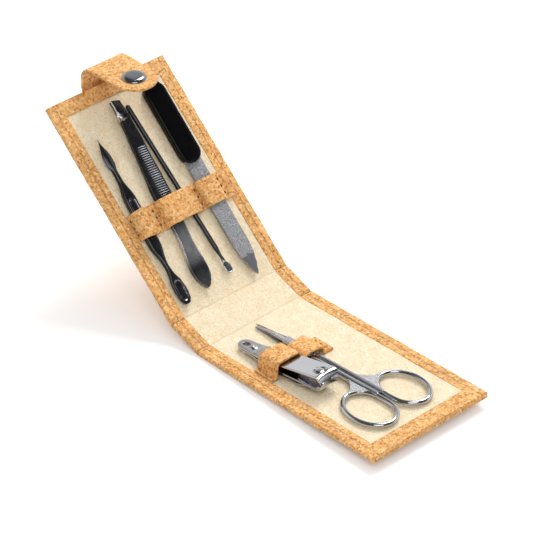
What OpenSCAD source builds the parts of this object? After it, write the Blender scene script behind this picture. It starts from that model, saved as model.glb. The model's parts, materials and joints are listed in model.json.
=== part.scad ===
// Folding manicure set case of cork, open and leaning back, with its six tools.
// The lower fold runs along Y. The lower panel lies towards +X, the upper panel leans towards -X.

/* [Case] */
// Length of the lower panel, from the lower fold to its free end
lower_len = 115; // [110:1:130]
// Length of the upper panel, from the upper fold to its free end
upper_len = 115; // [112:1:130]
// Height of the spine between the two folds
spine_len = 19; // [18:0.5:26]
// Width of the case
case_w = 70; // [68:1:90]
// Thickness of the cork cover
cork_t = 0.7; // [0.5:0.1:0.9]
// Thickness of the stiff board in each panel
board_t = 1.4; // [1:0.1:2.5]
// Thickness of the felted lining
lining_t = 0.6; // [0.4:0.1:0.7]
// Width of the turned-in hem along the long sides
side_hem = 7.1; // [5:0.1:7.4]
// Width of the hem at the free end of the upper panel
top_hem = 7.6; // [5:0.1:9]
// Width of the hem at the free end of the lower panel
bottom_hem = 8.8; // [5:0.1:10]
// Rise of the spine above the table, in degrees
spine_rise = 19.6; // [15:0.1:30]
// Rise of the upper panel above the table, in degrees
upper_rise = 41.65; // [35:0.1:50]

/* [Closing strap] */
// Width of the closing strap
strap_w = 21.5; // [18:0.5:24]
// Thickness of the closing strap
strap_t = 1.2; // [1:0.1:1.6]
// Sideways place of the strap, the cap and the stud
strap_y = -1; // [-2:0.5:2]
// Straight part that stands up from the panel's edge
strap_stand = 6.6; // [5:0.1:12]
// Radius of the strap's bend, at its middle
strap_bend_r = 7; // [5:0.5:8]
// Distance from the standing part to the centre of the cap
cap_reach = 25; // [23:0.5:30]
// Length sewn to the back of the upper panel
anchor_len = 34; // [25:1:45]
// Diameter of the snap cap
cap_d = 11.6; // [10:0.5:13]
// Diameter of the post that joins cap and socket
post_d = 3; // [2.5:0.1:3.5]
// Diameter of the snap stud's knob
stud_d = 4.4; // [4:0.1:5]
// Height of the snap stud below the lower panel
stud_h = 3.2; // [2.8:0.1:4]

/* [Tool holders] */
// Thickness of the cork bands that hold the tools
band_t = 1; // [0.8:0.1:1.3]
// Width of the holder strap on the upper panel
holder_w = 13.5; // [12:0.5:14]
// Distance from the upper fold to the holder strap
holder_at = 40.5; // [39:0.5:42]
// Width of the loop strip on the lower panel
loop_w = 12.4; // [11:0.2:13.6]
// Distance from the lower fold to the loop strip
loop_at = 30.3; // [29:0.2:31]
// Clearance between a tool and its holder
tool_gap = 0.35; // [0.2:0.05:0.6]

/* [Scissors] */
// Length of one scissor half from tip to ring centre
scissor_ring_at = 82.8; // [80:0.1:84]
// Distance from the tip to the pivot
scissor_pivot_at = 31; // [30:0.5:32]
// Thickness of one blade
blade_t = 1.5; // [1.2:0.1:1.7]
// Half length of a finger ring
ring_half_len = 13; // [12:0.1:14]
// Half width of a finger ring
ring_half_w = 9.6; // [9:0.1:10]
// Thickness of the ring's wire
ring_wire = 2.4; // [2:0.1:2.6]
// Diameter of the pivot screw's shank
screw_d = 2.6; // [2:0.1:3]

/* [Clipper] */
// Length of the nail clipper
clipper_len = 55.5; // [54:0.5:57]
// Width of the nail clipper
clipper_w = 12; // [11:0.2:12.4]
// Thickness of each clipper arm
arm_t = 1; // [0.8:0.1:1.2]
// Diameter of the clipper's pin
pin_d = 3; // [2.5:0.1:3.4]

/* [Upper tools] */
// Length of the cuticle pusher
pusher_len = 86.4; // [84:0.5:88]
// Width of the cuticle pusher's grip
pusher_w = 6; // [5.4:0.1:6.6]
// Length of the tweezers
tweezers_len = 97.2; // [95:0.5:99]
// Thickness of one tweezers arm
tweezers_t = 1; // [0.8:0.1:1.2]
// Length of the ear pick
ear_pick_len = 91.5; // [88:0.5:92]
// Diameter of the ear pick's rod
ear_pick_d = 2.3; // [1.8:0.1:2.6]
// Length of the nail file with its handle
file_len = 102.5; // [100:0.5:106]
// Length of the file's handle
handle_len = 43; // [40:1:46]
// Width of the file's handle
handle_w = 11.6; // [11:0.2:12]
// Width of the file's blade
file_w = 9; // [8:0.2:10.4]

/* [Hidden] */
$fn = 48;

// panel build-up and the two folds, whose axes lie at the level of the hem's top
hem_top = 2 * cork_t + board_t;
lining_top = cork_t + board_t + lining_t;
fold_gap = 0.15;
stud_at = upper_len + 1 - cap_reach;
lower_rise = atan(stud_h / (stud_at - stud_d / 2));
lower_turn = spine_rise + lower_rise;
upper_turn = upper_rise - spine_rise;
lower_start = hem_top * tan(lower_turn / 2);
upper_start = hem_top * tan(upper_turn / 2);
spine_end = spine_len - upper_start;

// the whole case stands with the middle of its box over the origin
fold_x = -spine_len * cos(spine_rise);
fold_z = spine_len * sin(spine_rise);
back_x = fold_x - upper_len * cos(upper_rise) - strap_t * sin(upper_rise);
front_x = lower_len * cos(lower_rise);
centre_x = (back_x + front_x) / 2;

// half the width of the lining between the side hems
half_lining = case_w / 2 - side_hem;

// heights of the tools above the lining
rest_gap = 0.3;
floor_h = lining_top + rest_gap;

module on_lower() { translate([-centre_x, 0, 0]) rotate([0, -lower_rise, 0]) children(); }
module on_spine() { translate([-centre_x, 0, 0]) rotate([0, spine_rise, 0]) mirror([1, 0, 0]) children(); }
module on_upper() {
  translate([fold_x - centre_x, 0, fold_z]) rotate([0, upper_rise, 0]) mirror([1, 0, 0]) children();
}

// a flat plate given by its limits
module plate(x0, x1, y0, y1, z0, z1) {
  translate([x0, y0, z0]) cube([x1 - x0, y1 - y0, z1 - z0]);
}

// cosine blend through knots [place, value]
function ease(knots, s) =
  s <= knots[0][0] ? knots[0][1] :
  s >= knots[len(knots) - 1][0] ? knots[len(knots) - 1][1] :
  let (i = max([for (k = [0 : len(knots) - 2]) if (knots[k][0] <= s) k]))
  let (u = (s - knots[i][0]) / (knots[i + 1][0] - knots[i][0]))
  knots[i][1] + (knots[i + 1][1] - knots[i][1]) * (1 - cos(180 * u)) / 2;

// outline along X whose half width follows the knots, from place a to place b
module lens(knots, a, b, steps) {
  s = [for (i = [0 : steps]) a + (b - a) * i / steps];
  polygon(concat([for (v = s) [v, ease(knots, v)]],
    [for (i = [0 : steps]) [s[steps - i], -ease(knots, s[steps - i])]]));
}

// a strip seen from above as child 0 and from the side as child 1
module two_views(reach) {
  intersection() {
    translate([0, 0, -reach]) linear_extrude(2 * reach) children(0);
    rotate([90, 0, 0]) translate([0, 0, -reach]) linear_extrude(2 * reach) children(1);
  }
}

// a row of short stitches along X at each of the given places across
module stitch_rows(x0, x1, rows, z) {
  pitch = 3.6;
  count = floor((x1 - x0) / pitch);
  for (y = rows, i = [0 : count - 1]) {
    x = (x0 + x1) / 2 + (i - (count - 1) / 2) * pitch;
    plate(x - 1.2, x + 1.2, y - 0.18, y + 0.18, z + 0.02, z + 0.3);
  }
}

// cork turned round a board: open at its fold ends, hemmed at the others
module cork_cover(x0, x1, end_wall, end_hem) {
  half = case_w / 2;
  difference() {
    plate(x0, x1, -half, half, 0, hem_top);
    plate(x0 - 1, x1 - end_wall, cork_t - half, half - cork_t, cork_t, cork_t + board_t);
    plate(x0 - 1, x1 - end_hem, side_hem - half, half - side_hem, cork_t, hem_top + 1);
  }
}
module board(x0, x1) {
  half = case_w / 2 - cork_t;
  plate(x0, x1, -half, half, cork_t, cork_t + board_t);
}
module lining(x0, x1) {
  half = case_w / 2 - side_hem;
  plate(x0, x1, -half, half, cork_t + board_t, lining_top);
}

// lower panel
post_head_d = 7;
post_head_t = 0.4;
stud_bore_r = 1.05;
module stud_hole() { translate([stud_at, strap_y, -5]) cylinder(r = stud_bore_r, h = 10); }
module lower_cover() {
  color("burlywood") on_lower() difference() {
    cork_cover(lower_start + fold_gap, lower_len, cork_t, bottom_hem);
    stud_hole();
  }
}
module lower_board() {
  color("gray") on_lower() difference() {
    board(lower_start + fold_gap, lower_len - cork_t);
    stud_hole();
    translate([stud_at, strap_y, cork_t + board_t - post_head_t]) cylinder(d = post_head_d, h = 5);
  }
}
module lower_lining() { color("wheat") on_lower() lining(lower_start + fold_gap, lower_len - bottom_hem); }
module snap_stud() {
  neck_h = stud_h - 1.6;
  color("dimgray") on_lower() translate([stud_at, strap_y, -stud_h]) difference() {
    union() {
      cylinder(d = stud_d, h = 1.2);
      cylinder(d = stud_d - 0.9, h = stud_h);
      translate([0, 0, 1.2 + neck_h - 0.2]) cylinder(d = 9, h = 0.6);
    }
    translate([0, 0, 0.6]) cylinder(r = stud_bore_r, h = stud_h);
  }
}
module stud_post() {
  color("dimgray") on_lower() translate([stud_at, strap_y, 0]) {
    translate([0, 0, 0.7 - stud_h]) cylinder(r = stud_bore_r - 0.03, h = stud_h - 0.7 + cork_t + board_t);
    translate([0, 0, cork_t + board_t - post_head_t]) cylinder(d = post_head_d, h = post_head_t);
  }
}

// bands: a path across the panel, rounded at its corners and given a thickness
function unit(v) = v / norm(v);
function left(v) = [-v[1], v[0]];
function round_path(p, cut) = concat([p[0]],
  [for (i = [1 : len(p) - 2])
    let (c = min(cut, norm(p[i] - p[i - 1]) * 0.45, norm(p[i + 1] - p[i]) * 0.45))
    let (a = p[i] - c * unit(p[i] - p[i - 1]), b = p[i] + c * unit(p[i + 1] - p[i]))
    for (t = [0, 0.33, 0.67, 1]) (1 - t) * (1 - t) * a + 2 * t * (1 - t) * p[i] + t * t * b],
  [p[len(p) - 1]]);
function side_point(p, i, t) =
  let (d0 = unit(i == 0 ? p[1] - p[0] : p[i] - p[i - 1]))
  let (d1 = i == len(p) - 1 ? d0 : unit(p[i + 1] - p[i]))
  let (m = unit(left(d0) + left(d1)))
  p[i] + m * t / (m * left(d0));
module band(x0, x1, path, cut) {
  n = len(path);
  outer = [for (i = [0 : n - 1]) side_point(path, n - 1 - i, band_t)];
  translate([x0, 0, lining_top]) rotate([90, 0, 90]) linear_extrude(x1 - x0)
    polygon(concat(round_path(path, cut), round_path(outer, cut)));
}

// places of the tools: first point [along, across] and turn in the panel's plane
clipper_tail = [11.2, 9.1 - half_lining];
clipper_turn = 3.1;
scissors_tip = [5.1, -3.7];
scissors_turn = 1.7;
pusher_end = [5.5, 3.5 - half_lining];
pusher_turn = 2.1;
tweezers_end = [7.7, -8.6];
tweezers_turn = 3.2;
ear_pick_end = [9, 5.3];
ear_pick_turn = -1.4;
file_tip = [2.8, half_lining - 10.2];
file_turn = 0.6;
module at_tool(place, turn) { translate([place[0], place[1], floor_h]) rotate([0, 0, turn]) children(); }
function across(place, turn, x) = place[1] + (x - place[0]) * tan(turn);

// clipper heights above its own floor, and the gap between its arms at the rivet
arm_rise = 0.052;
arm_gap = 0.13;
base_rise = 0.175;
rivet_at = 9;
jaw_arm_z = 0.6;
base_z = jaw_arm_z + arm_rise * rivet_at + arm_t + arm_gap;
function base_bottom(s) = base_z + base_rise * (s - rivet_at);
function jaw_bottom(s) = jaw_arm_z + arm_rise * s;

// tunnels of the loop strip on the lower panel
loop_mid = loop_at + loop_w / 2;
clip_y = across(clipper_tail, clipper_turn, loop_mid);
clip_half = clipper_w / 2 + tool_gap + 0.4;
clip_roof = rest_gap + base_bottom(loop_at + loop_w - clipper_tail[0]) + arm_t + 2.2 * tool_gap;
scis_y = across(scissors_tip, scissors_turn, loop_mid);
scis_left = scis_y - 4.7;
scis_right = scis_y + 5.8;
head_h = 0.5;
scis_roof = rest_gap + 2 * blade_t + 0.05 + head_h + tool_gap;
loop_path = [[0.1 - half_lining, 0], [clip_y - clip_half - 0.5, 0], [clip_y - clip_half, clip_roof - 1],
  [clip_y - clip_half + 1, clip_roof], [clip_y + clip_half - 1, clip_roof],
  [clip_y + clip_half, clip_roof - 1], [clip_y + clip_half + 0.3, 0], [scis_left - 0.4, 0],
  [scis_left, scis_roof - 1.2], [scis_left + 1.4, scis_roof], [scis_right - 1.4, scis_roof],
  [scis_right, scis_roof - 1.2], [scis_right + 0.4, 0], [scis_right + 6.4, 0]];
module tool_loop() { color("peru") on_lower() band(loop_at, loop_at + loop_w, loop_path, 0.7); }
module loop_stitches() {
  rows = [clip_y - clip_half - 2.4, (clip_y + clip_half + scis_left) / 2, scis_right + 4.5];
  color("saddlebrown") on_lower() stitch_rows(loop_at, loop_at + loop_w, rows, lining_top + band_t);
}

// spine
module spine_cover() {
  color("burlywood") on_spine() cork_cover(lower_start + fold_gap, spine_end - fold_gap, -1, -1);
}
module spine_board() { color("gray") on_spine() board(lower_start + fold_gap, spine_end - fold_gap); }
module spine_lining() { color("wheat") on_spine() lining(lower_start + fold_gap, spine_end - fold_gap); }

// upper panel
module upper_cover() {
  color("burlywood") on_upper() cork_cover(upper_start + fold_gap, upper_len, cork_t, top_hem);
}
module upper_board() { color("gray") on_upper() board(upper_start + fold_gap, upper_len - cork_t); }
module upper_lining() { color("wheat") on_upper() lining(upper_start + fold_gap, upper_len - top_hem); }

holder_mid = holder_at + holder_w / 2;
push_y = across(pusher_end, pusher_turn, holder_mid);
tweez_y = across(tweezers_end, tweezers_turn, holder_mid);
ear_y = across(ear_pick_end, ear_pick_turn, holder_mid);
blade_y = across(file_tip, file_turn, holder_mid);
push_half = pusher_w / 2 + tool_gap + 0.4;
push_roof = rest_gap + 3 + tool_gap;
front_rise = 0.024;
leaf_len = 14;
tweez_half = 4.7 + tool_gap + 0.3;
tweez_roof = rest_gap + 2 * tweezers_t + 0.05 + front_rise * (holder_at + holder_w - tweezers_end[0] - leaf_len)
  + 2 * tool_gap;
ear_roof = rest_gap + ear_pick_d + tool_gap;
blade_z = 1;
blade_thick = 1;
blade_half = file_w / 2 + tool_gap + 0.1;
blade_roof = rest_gap + blade_z + blade_thick + tool_gap;
hem_step = hem_top - lining_top;
holder_path = [[0.1 - half_lining, 0], [push_y - push_half - 0.2, 0], [push_y - push_half, push_roof - 0.5],
  [push_y - push_half + 0.5, push_roof], [push_y + push_half - 0.5, push_roof],
  [push_y + push_half, push_roof - 0.5], [push_y + push_half + 0.4, 0], [tweez_y - tweez_half - 0.3, 0],
  [tweez_y - tweez_half, tweez_roof - 1], [tweez_y - tweez_half + 1, tweez_roof],
  [tweez_y + tweez_half, tweez_roof], [ear_y, ear_roof + 0.3], [ear_y + 2.2, ear_roof - 0.5],
  [ear_y + 4.6, 0], [blade_y - blade_half - 0.2, 0], [blade_y - blade_half, blade_roof - 0.4],
  [blade_y - blade_half + 0.6, blade_roof], [blade_y + blade_half - 0.6, blade_roof],
  [blade_y + blade_half, blade_roof - 0.4], [blade_y + blade_half + 0.3, 0], [half_lining - 0.6, 0],
  [half_lining - 0.1, hem_step], [half_lining + 2.4, hem_step]];
module holder_strap() {
  color("peru") on_upper() band(holder_at, holder_at + holder_w, holder_path, 0.8);
}
module holder_stitches() {
  rows = [tweez_y - tweez_half - 2.8, blade_y - blade_half - 2.2, half_lining - 2.4];
  color("saddlebrown") on_upper() stitch_rows(holder_at, holder_at + holder_w, rows, lining_top + band_t);
}

// closing strap, hinged at the free edge of the upper panel
pivot_along = upper_len + 1;
anchor_end = pivot_along - strap_t / 2 - 0.3;
pivot_x = fold_x - centre_x - pivot_along * cos(upper_rise) - strap_t / 2 * sin(upper_rise);
pivot_z = fold_z + pivot_along * sin(upper_rise) - strap_t / 2 * cos(upper_rise);
flap_z = strap_stand + strap_bend_r;
module strap_anchor() {
  color("burlywood") on_upper() plate(anchor_end - anchor_len, anchor_end,
    strap_y - strap_w / 2, strap_y + strap_w / 2, -strap_t, 0);
}
module anchor_stitches() {
  rows = [strap_y - strap_w / 2 + 2.2, strap_y + strap_w / 2 - 2.2];
  color("saddlebrown") on_upper()
    stitch_rows(anchor_end - anchor_len, anchor_end - 4, rows, -strap_t - 0.3);
}
module on_strap() { translate([pivot_x, strap_y, pivot_z]) children(); }
module closing_strap() {
  half = strap_w / 2;
  color("burlywood") on_strap() difference() {
    union() {
      rotate([90, 0, 0]) translate([0, 0, -half]) cylinder(d = strap_t, h = strap_w);
      plate(-strap_t / 2, strap_t / 2, -half, half, 0, strap_stand);
      intersection() {
        translate([strap_bend_r, half, strap_stand]) rotate([90, 0, 0]) difference() {
          cylinder(r = strap_bend_r + strap_t / 2, h = strap_w, $fn = 96);
          translate([0, 0, -1]) cylinder(r = strap_bend_r - strap_t / 2, h = strap_w + 2, $fn = 96);
        }
        plate(-strap_t, strap_bend_r, -half - 1, half + 1, strap_stand, flap_z + strap_t);
      }
      translate([0, 0, flap_z - strap_t / 2]) linear_extrude(strap_t) {
        translate([strap_bend_r, -half]) square([cap_reach - strap_bend_r, strap_w]);
        translate([cap_reach, 0]) circle(d = strap_w, $fn = 96);
      }
    }
    translate([cap_reach, 0, flap_z - strap_t]) cylinder(d = post_d + 0.06, h = 2 * strap_t);
  }
}
socket_top = 0.5;
module snap_cap() {
  color("dimgray") on_strap() translate([cap_reach, 0, flap_z + strap_t / 2]) {
    cylinder(d = cap_d, h = 0.7);
    translate([0, 0, 0.7]) cylinder(d1 = cap_d - 0.4, d2 = cap_d - 2.4, h = 0.9);
    translate([0, 0, -strap_t - socket_top]) cylinder(d = post_d, h = strap_t + socket_top + 0.1);
  }
}
module snap_socket() {
  depth = 2.2;
  color("dimgray") on_strap() translate([cap_reach, 0, flap_z - strap_t / 2 - depth]) difference() {
    cylinder(d = cap_d - 2, h = depth);
    translate([0, 0, -1]) cylinder(d = stud_d + 0.2, h = 1 + depth - socket_top);
    cylinder(d = post_d + 0.06, h = depth + 1);
  }
}

// cuticle pusher: spade, two necks, grip and spear
module cuticle_pusher() {
  wide = [[0, 0.6], [1.6, 2.2], [5.5, 3.1], [9.5, 3.1], [17, 1.5], [20, 1.5], [32, pusher_w / 2],
    [54, pusher_w / 2], [65, 1.4], [68.5, 1.4], [74, 2.8], [76, 2.8], [pusher_len, 0.15]];
  thick = [[0, 0.3], [8, 0.6], [18, 1.3], [31, 1.5], [56, 1.5], [67, 1.3], [75, 0.9], [pusher_len, 0.2]];
  color("black") on_upper() at_tool(pusher_end, pusher_turn) translate([0, 0, 1.5]) difference() {
    two_views(4) {
      lens(wide, 0, pusher_len, 44);
      lens(thick, 0, pusher_len, 22);
    }
    translate([33, 0, 1.2]) linear_extrude(1) lens([[0, 0.3], [2, 1.6], [19, 1.6], [21, 0.3]], 0, 21, 12);
    translate([2.5, 0, 0.25]) linear_extrude(1) lens([[0, 0.3], [2, 1.8], [6, 1.8], [8, 0.3]], 0, 8, 8);
  }
}

// tweezers: the back arm carries the welded leaf end, the front arm springs away from it
tweezers_wide = [[0, 0.3], [2, 1.7], [6, 3.7], [11.5, 4.75], [16, 4.3], [23.5, 2.9], [33, 3.5], [46, 4.6],
  [56, 4.4], [75, 3.1], [90, 2.5], [tweezers_len, 2.4]];
module tweezers_plan(a, b) {
  difference() {
    lens(tweezers_wide, a, b, 40);
    translate([tweezers_len, -2.4]) rotate(24) translate([0, -8]) square(16);
  }
}
module tweezers_back_arm() {
  color("black") on_upper() at_tool(tweezers_end, tweezers_turn) {
    linear_extrude(tweezers_t) tweezers_plan(0, tweezers_len);
    linear_extrude(2 * tweezers_t + 0.05) intersection() {
      tweezers_plan(0, tweezers_len);
      translate([-1, -6]) square([leaf_len + 1, 12]);
    }
  }
}
module tweezers_front_arm() {
  start = leaf_len + 0.3;
  rise = front_rise * (tweezers_len - leaf_len);
  z = tweezers_t + 0.05;
  side = [[start, z], [tweezers_len, z + rise], [tweezers_len, z + rise + tweezers_t],
    [start, z + tweezers_t]];
  color("black") on_upper() at_tool(tweezers_end, tweezers_turn) difference() {
    two_views(10) {
      tweezers_plan(start, tweezers_len);
      polygon(side);
    }
    for (i = [0 : 19])
      translate([49 + i * 1.15, 0, z + front_rise * (49 + i * 1.15 - leaf_len) + tweezers_t])
        cube([0.5, 7, 0.3], center = true);
  }
}

// ear pick: round rod drawn out to a small scoop
module ear_pick() {
  r = ear_pick_d / 2;
  color("black") on_upper() at_tool(ear_pick_end, ear_pick_turn) translate([0, 0, r]) {
    translate([9, 0, 0]) rotate([0, 90, 0]) cylinder(r = r, h = ear_pick_len - 9 - r);
    translate([ear_pick_len - r, 0, 0]) sphere(r = r);
    difference() {
      two_views(3) {
        lens([[0, 0.5], [1.2, 1.7], [3.2, 1.9], [6, 0.8], [9.5, 0.75]], 0, 9.5, 16);
        lens([[0, 0.45], [4, 0.55], [9.5, 0.75]], 0, 9.5, 6);
      }
      translate([2.6, 0, 2.4]) sphere(r = 2.4);
    }
  }
}

// nail file: thin blade held in a moulded handle
blade_in_handle = 10;
blade_hidden = file_len - handle_len + blade_in_handle;
module file_plan(grow) {
  lens([[0, 0.2], [2, 1.9], [10, 0.46 * file_w], [14, file_w / 2], [file_len, file_w / 2]], 0, blade_hidden + grow, 36);
}
module file_blade() {
  color("silver") on_upper() at_tool(file_tip, file_turn) translate([0, 0, blade_z])
    linear_extrude(blade_thick) file_plan(0);
}
module handle_plan(inset) {
  r = handle_w / 2;
  for (x = [file_len - handle_len + r, file_len - r]) translate([x, 0]) circle(r = r - inset);
  translate([file_len - handle_len + r, inset - r]) square([handle_len - 2 * r, 2 * r - 2 * inset]);
}
module file_handle() {
  low = 0.4;
  high = 3.6;
  color("black") on_upper() at_tool(file_tip, file_turn) difference() {
    union() {
      translate([0, 0, low]) linear_extrude(high - low) handle_plan(0);
      linear_extrude(high + 0.5) handle_plan(0.8);
    }
    translate([0, 0, blade_z]) linear_extrude(blade_thick) file_plan(0);
  }
}

// nail clipper, stowed with its lever underneath
module clipper_plan() {
  half = clipper_w / 2;
  lens([[0, 0.6], [1.2, 2.8], [4.5, 3.7], [24, half], [clipper_len, half]], 0, clipper_len, 36);
}
pin_at = clipper_len - 5.6;
jaw_mid = (base_bottom(clipper_len) + jaw_bottom(clipper_len) + arm_t) / 2;
jaw_gap = 1.5;
module jaw_curve() { translate([clipper_len + 19.2, 0, -1]) cylinder(r = 20, h = 20, $fn = 128); }
module tail_holes() {
  translate([4, 0, 0]) cylinder(d = 2.6, h = 10);
  translate([rivet_at, 0, 0]) cylinder(r = 1.03, h = 10);
}
module on_clipper() { on_lower() at_tool(clipper_tail, clipper_turn) children(); }
module clipper_base_arm() {
  flex = rivet_at + 2.5;
  b0 = jaw_bottom(0) + arm_t + arm_gap;
  b1 = b0 + arm_rise * flex;
  b2 = base_bottom(clipper_len);
  edge = jaw_mid + jaw_gap / 2;
  side = [[-1, b0 - arm_rise], [flex, b1], [clipper_len - 1.4, b2 - base_rise * 1.4],
    [clipper_len - 0.5, edge], [clipper_len + 0.3, edge], [clipper_len + 0.3, b2 + arm_t - 0.9],
    [clipper_len - 0.9, b2 + arm_t], [flex, b1 + arm_t], [-1, b0 - arm_rise + arm_t]];
  color("silver") on_clipper() difference() {
    two_views(20) {
      clipper_plan();
      polygon(side);
    }
    tail_holes();
    translate([pin_at, 0, 0]) cylinder(r = pin_d / 2 + 0.6, h = 20);
    jaw_curve();
  }
}
module clipper_jaw_arm() {
  b0 = jaw_bottom(-1);
  b2 = jaw_bottom(clipper_len);
  edge = jaw_mid - jaw_gap / 2;
  side = [[-1, b0], [clipper_len - 0.9, b2], [clipper_len + 0.3, b2 + 0.9], [clipper_len + 0.3, edge],
    [clipper_len - 0.5, edge], [clipper_len - 1.4, b2 + arm_t], [-1, b0 + arm_t]];
  color("silver") on_clipper() difference() {
    two_views(20) {
      clipper_plan();
      polygon(side);
    }
    tail_holes();
    translate([pin_at, 0, 0]) cylinder(r = pin_d / 2 + 0.05, h = 20);
    jaw_curve();
  }
}
module clipper_rivet() {
  z0 = jaw_bottom(rivet_at);
  color("silver") on_clipper() translate([rivet_at, 0, 0]) {
    translate([0, 0, z0 - 0.6]) cylinder(r = 1.7, h = 0.5);
    translate([0, 0, z0 - 0.3]) cylinder(r = 1, h = 2 * arm_t + arm_gap + 0.6);
    translate([0, 0, z0 + 2 * arm_t + arm_gap + 0.08]) cylinder(r = 1.7, h = 0.4);
  }
}
lever_z = 0.2;
lever_t = 0.9;
foot_z = jaw_bottom(pin_at) - 0.1 - lever_t;
module clipper_lever() {
  tip = pin_at + 2.6;
  side = [[17, lever_z], [pin_at - 9, lever_z], [pin_at - 3, foot_z], [tip, foot_z],
    [tip, foot_z + lever_t], [pin_at - 3, foot_z + lever_t - 0.1], [pin_at - 9, lever_z + lever_t],
    [17, lever_z + lever_t]];
  color("silver") on_clipper() difference() {
    two_views(20) {
      lens([[17, 2.2], [19, 4.4], [24, 5.2], [tip - 5, 5.2], [tip, 4]], 17, tip, 30);
      polygon(side);
    }
    translate([pin_at, 0, -1]) cylinder(r = pin_d / 2 + 0.05, h = 20);
  }
}
module clipper_pin() {
  top = base_bottom(pin_at) + arm_t;
  color("silver") on_clipper() translate([pin_at, 0, 0]) {
    translate([0, 0, foot_z - 0.62]) cylinder(r = pin_d / 2 + 0.8, h = 0.6);
    translate([0, 0, foot_z - 0.1]) cylinder(r = pin_d / 2, h = top - foot_z + 0.1);
  }
}

// nail scissors
pivot = [scissor_pivot_at, 0, 0];
hub_r = 6.6;
split = 0.15;
shank_w = 3.2;
ring_y = ring_half_w + ring_wire / 2 + 0.8;
module ring() {
  around = 48;
  sides = 10;
  function at(i, j) =
    let (a = 360 * i / around, b = 360 * j / sides)
    let (n = unit([ring_half_w * cos(a), ring_half_len * sin(a)]))
    [ring_half_len * cos(a) + n[0] * ring_wire / 2 * cos(b),
     ring_half_w * sin(a) + n[1] * ring_wire / 2 * cos(b), ring_wire / 2 * sin(b)];
  polyhedron([for (i = [0 : around - 1], j = [0 : sides - 1]) at(i, j)],
    [for (i = [0 : around - 1], j = [0 : sides - 1])
      let (k = (i + 1) % around, m = (j + 1) % sides)
      [i * sides + j, i * sides + m, k * sides + m, k * sides + j]]);
}
// one half with its ring at +Y: the blade lies in one layer, the other layer is cut away at the hub
module scissors_half(layer_z) {
  other_z = layer_z > 0 ? -1 : blade_t + 0.01;
  full = 2 * blade_t + 0.05;
  difference() {
    union() {
      translate([0, 0, layer_z]) linear_extrude(blade_t) {
        polygon([[0, 0.5], [18.9, 2.4], [24.6, 2.4], [24.6, -1.9], [18.9, -1.9], [2, -0.7]]);
        intersection() {
          translate([scissor_pivot_at, 0]) circle(r = hub_r, $fn = 96);
          translate([0, -shank_w]) square([2 * scissor_pivot_at, 2 * shank_w]);
        }
      }
      difference() {
        linear_extrude(full) polygon([[scissor_pivot_at, split], [70, split], [scissor_ring_at - 4, 0.9],
          [scissor_ring_at - 4, 2.6], [70, shank_w], [scissor_pivot_at, shank_w]]);
        translate([scissor_pivot_at, 0, other_z]) cylinder(r = hub_r + 0.3, h = blade_t + 1.04, $fn = 96);
      }
      translate([scissor_ring_at, 0, 0.6]) linear_extrude(full - 1.2) polygon([[-28, 2.5], [-22, 3.8],
        [-17.3, 5.6], [-13.5, 8.6], [-12.9, ring_y], [-12, ring_y - 0.5], [-10, 6.3], [-6, 3.3], [-4, 1.6],
        [-12, 1]]);
      translate([scissor_ring_at, ring_y, ring_wire / 2 + 0.2 * layer_z]) ring();
    }
    translate([scissor_pivot_at, 0, -1]) cylinder(d = screw_d + 0.1, h = 10);
  }
}
module on_scissors() { on_lower() at_tool(scissors_tip, scissors_turn) children(); }
module scissors_near_half() {
  color("silver") on_scissors() mirror([0, 1, 0]) scissors_half(0);
}
module scissors_far_half() {
  color("silver") on_scissors() scissors_half(blade_t + 0.05);
}
module scissors_screw() {
  color("silver") on_scissors() translate(pivot) {
    cylinder(d = screw_d, h = 2 * blade_t + 0.1);
    difference() {
      translate([0, 0, 2 * blade_t + 0.08]) cylinder(d = screw_d + 2.8, h = head_h - 0.1);
      translate([0, 0, 2 * blade_t + 0.08 + head_h]) cube([8, 0.7, 0.5], center = true);
    }
  }
}

lower_cover();
lower_board();
lower_lining();
tool_loop();
loop_stitches();
snap_stud();
stud_post();
spine_cover();
spine_board();
spine_lining();
upper_cover();
upper_board();
upper_lining();
holder_strap();
holder_stitches();
strap_anchor();
anchor_stitches();
closing_strap();
snap_cap();
snap_socket();
cuticle_pusher();
tweezers_back_arm();
tweezers_front_arm();
ear_pick();
file_blade();
file_handle();
clipper_jaw_arm();
clipper_base_arm();
clipper_lever();
clipper_pin();
clipper_rivet();
scissors_near_half();
scissors_far_half();
scissors_screw();
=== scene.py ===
import json
import math
import bpy
from mathutils import Matrix, Vector, noise


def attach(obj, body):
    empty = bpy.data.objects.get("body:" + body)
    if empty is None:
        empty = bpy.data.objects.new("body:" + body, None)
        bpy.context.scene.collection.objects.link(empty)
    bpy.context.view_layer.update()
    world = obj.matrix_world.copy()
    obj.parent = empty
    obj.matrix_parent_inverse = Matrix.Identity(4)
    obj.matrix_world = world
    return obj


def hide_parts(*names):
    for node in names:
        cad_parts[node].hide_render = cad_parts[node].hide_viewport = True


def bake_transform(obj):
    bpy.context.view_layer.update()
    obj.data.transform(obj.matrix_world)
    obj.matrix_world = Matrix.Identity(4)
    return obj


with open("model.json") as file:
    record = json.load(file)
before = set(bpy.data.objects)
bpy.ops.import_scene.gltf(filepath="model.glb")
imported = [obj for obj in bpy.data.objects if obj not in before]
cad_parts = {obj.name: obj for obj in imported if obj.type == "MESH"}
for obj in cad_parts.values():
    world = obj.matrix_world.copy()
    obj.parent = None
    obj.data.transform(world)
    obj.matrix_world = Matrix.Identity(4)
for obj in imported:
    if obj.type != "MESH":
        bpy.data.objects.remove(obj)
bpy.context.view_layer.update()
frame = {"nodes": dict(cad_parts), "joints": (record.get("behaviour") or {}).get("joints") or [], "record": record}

mm = 0.001

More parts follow.
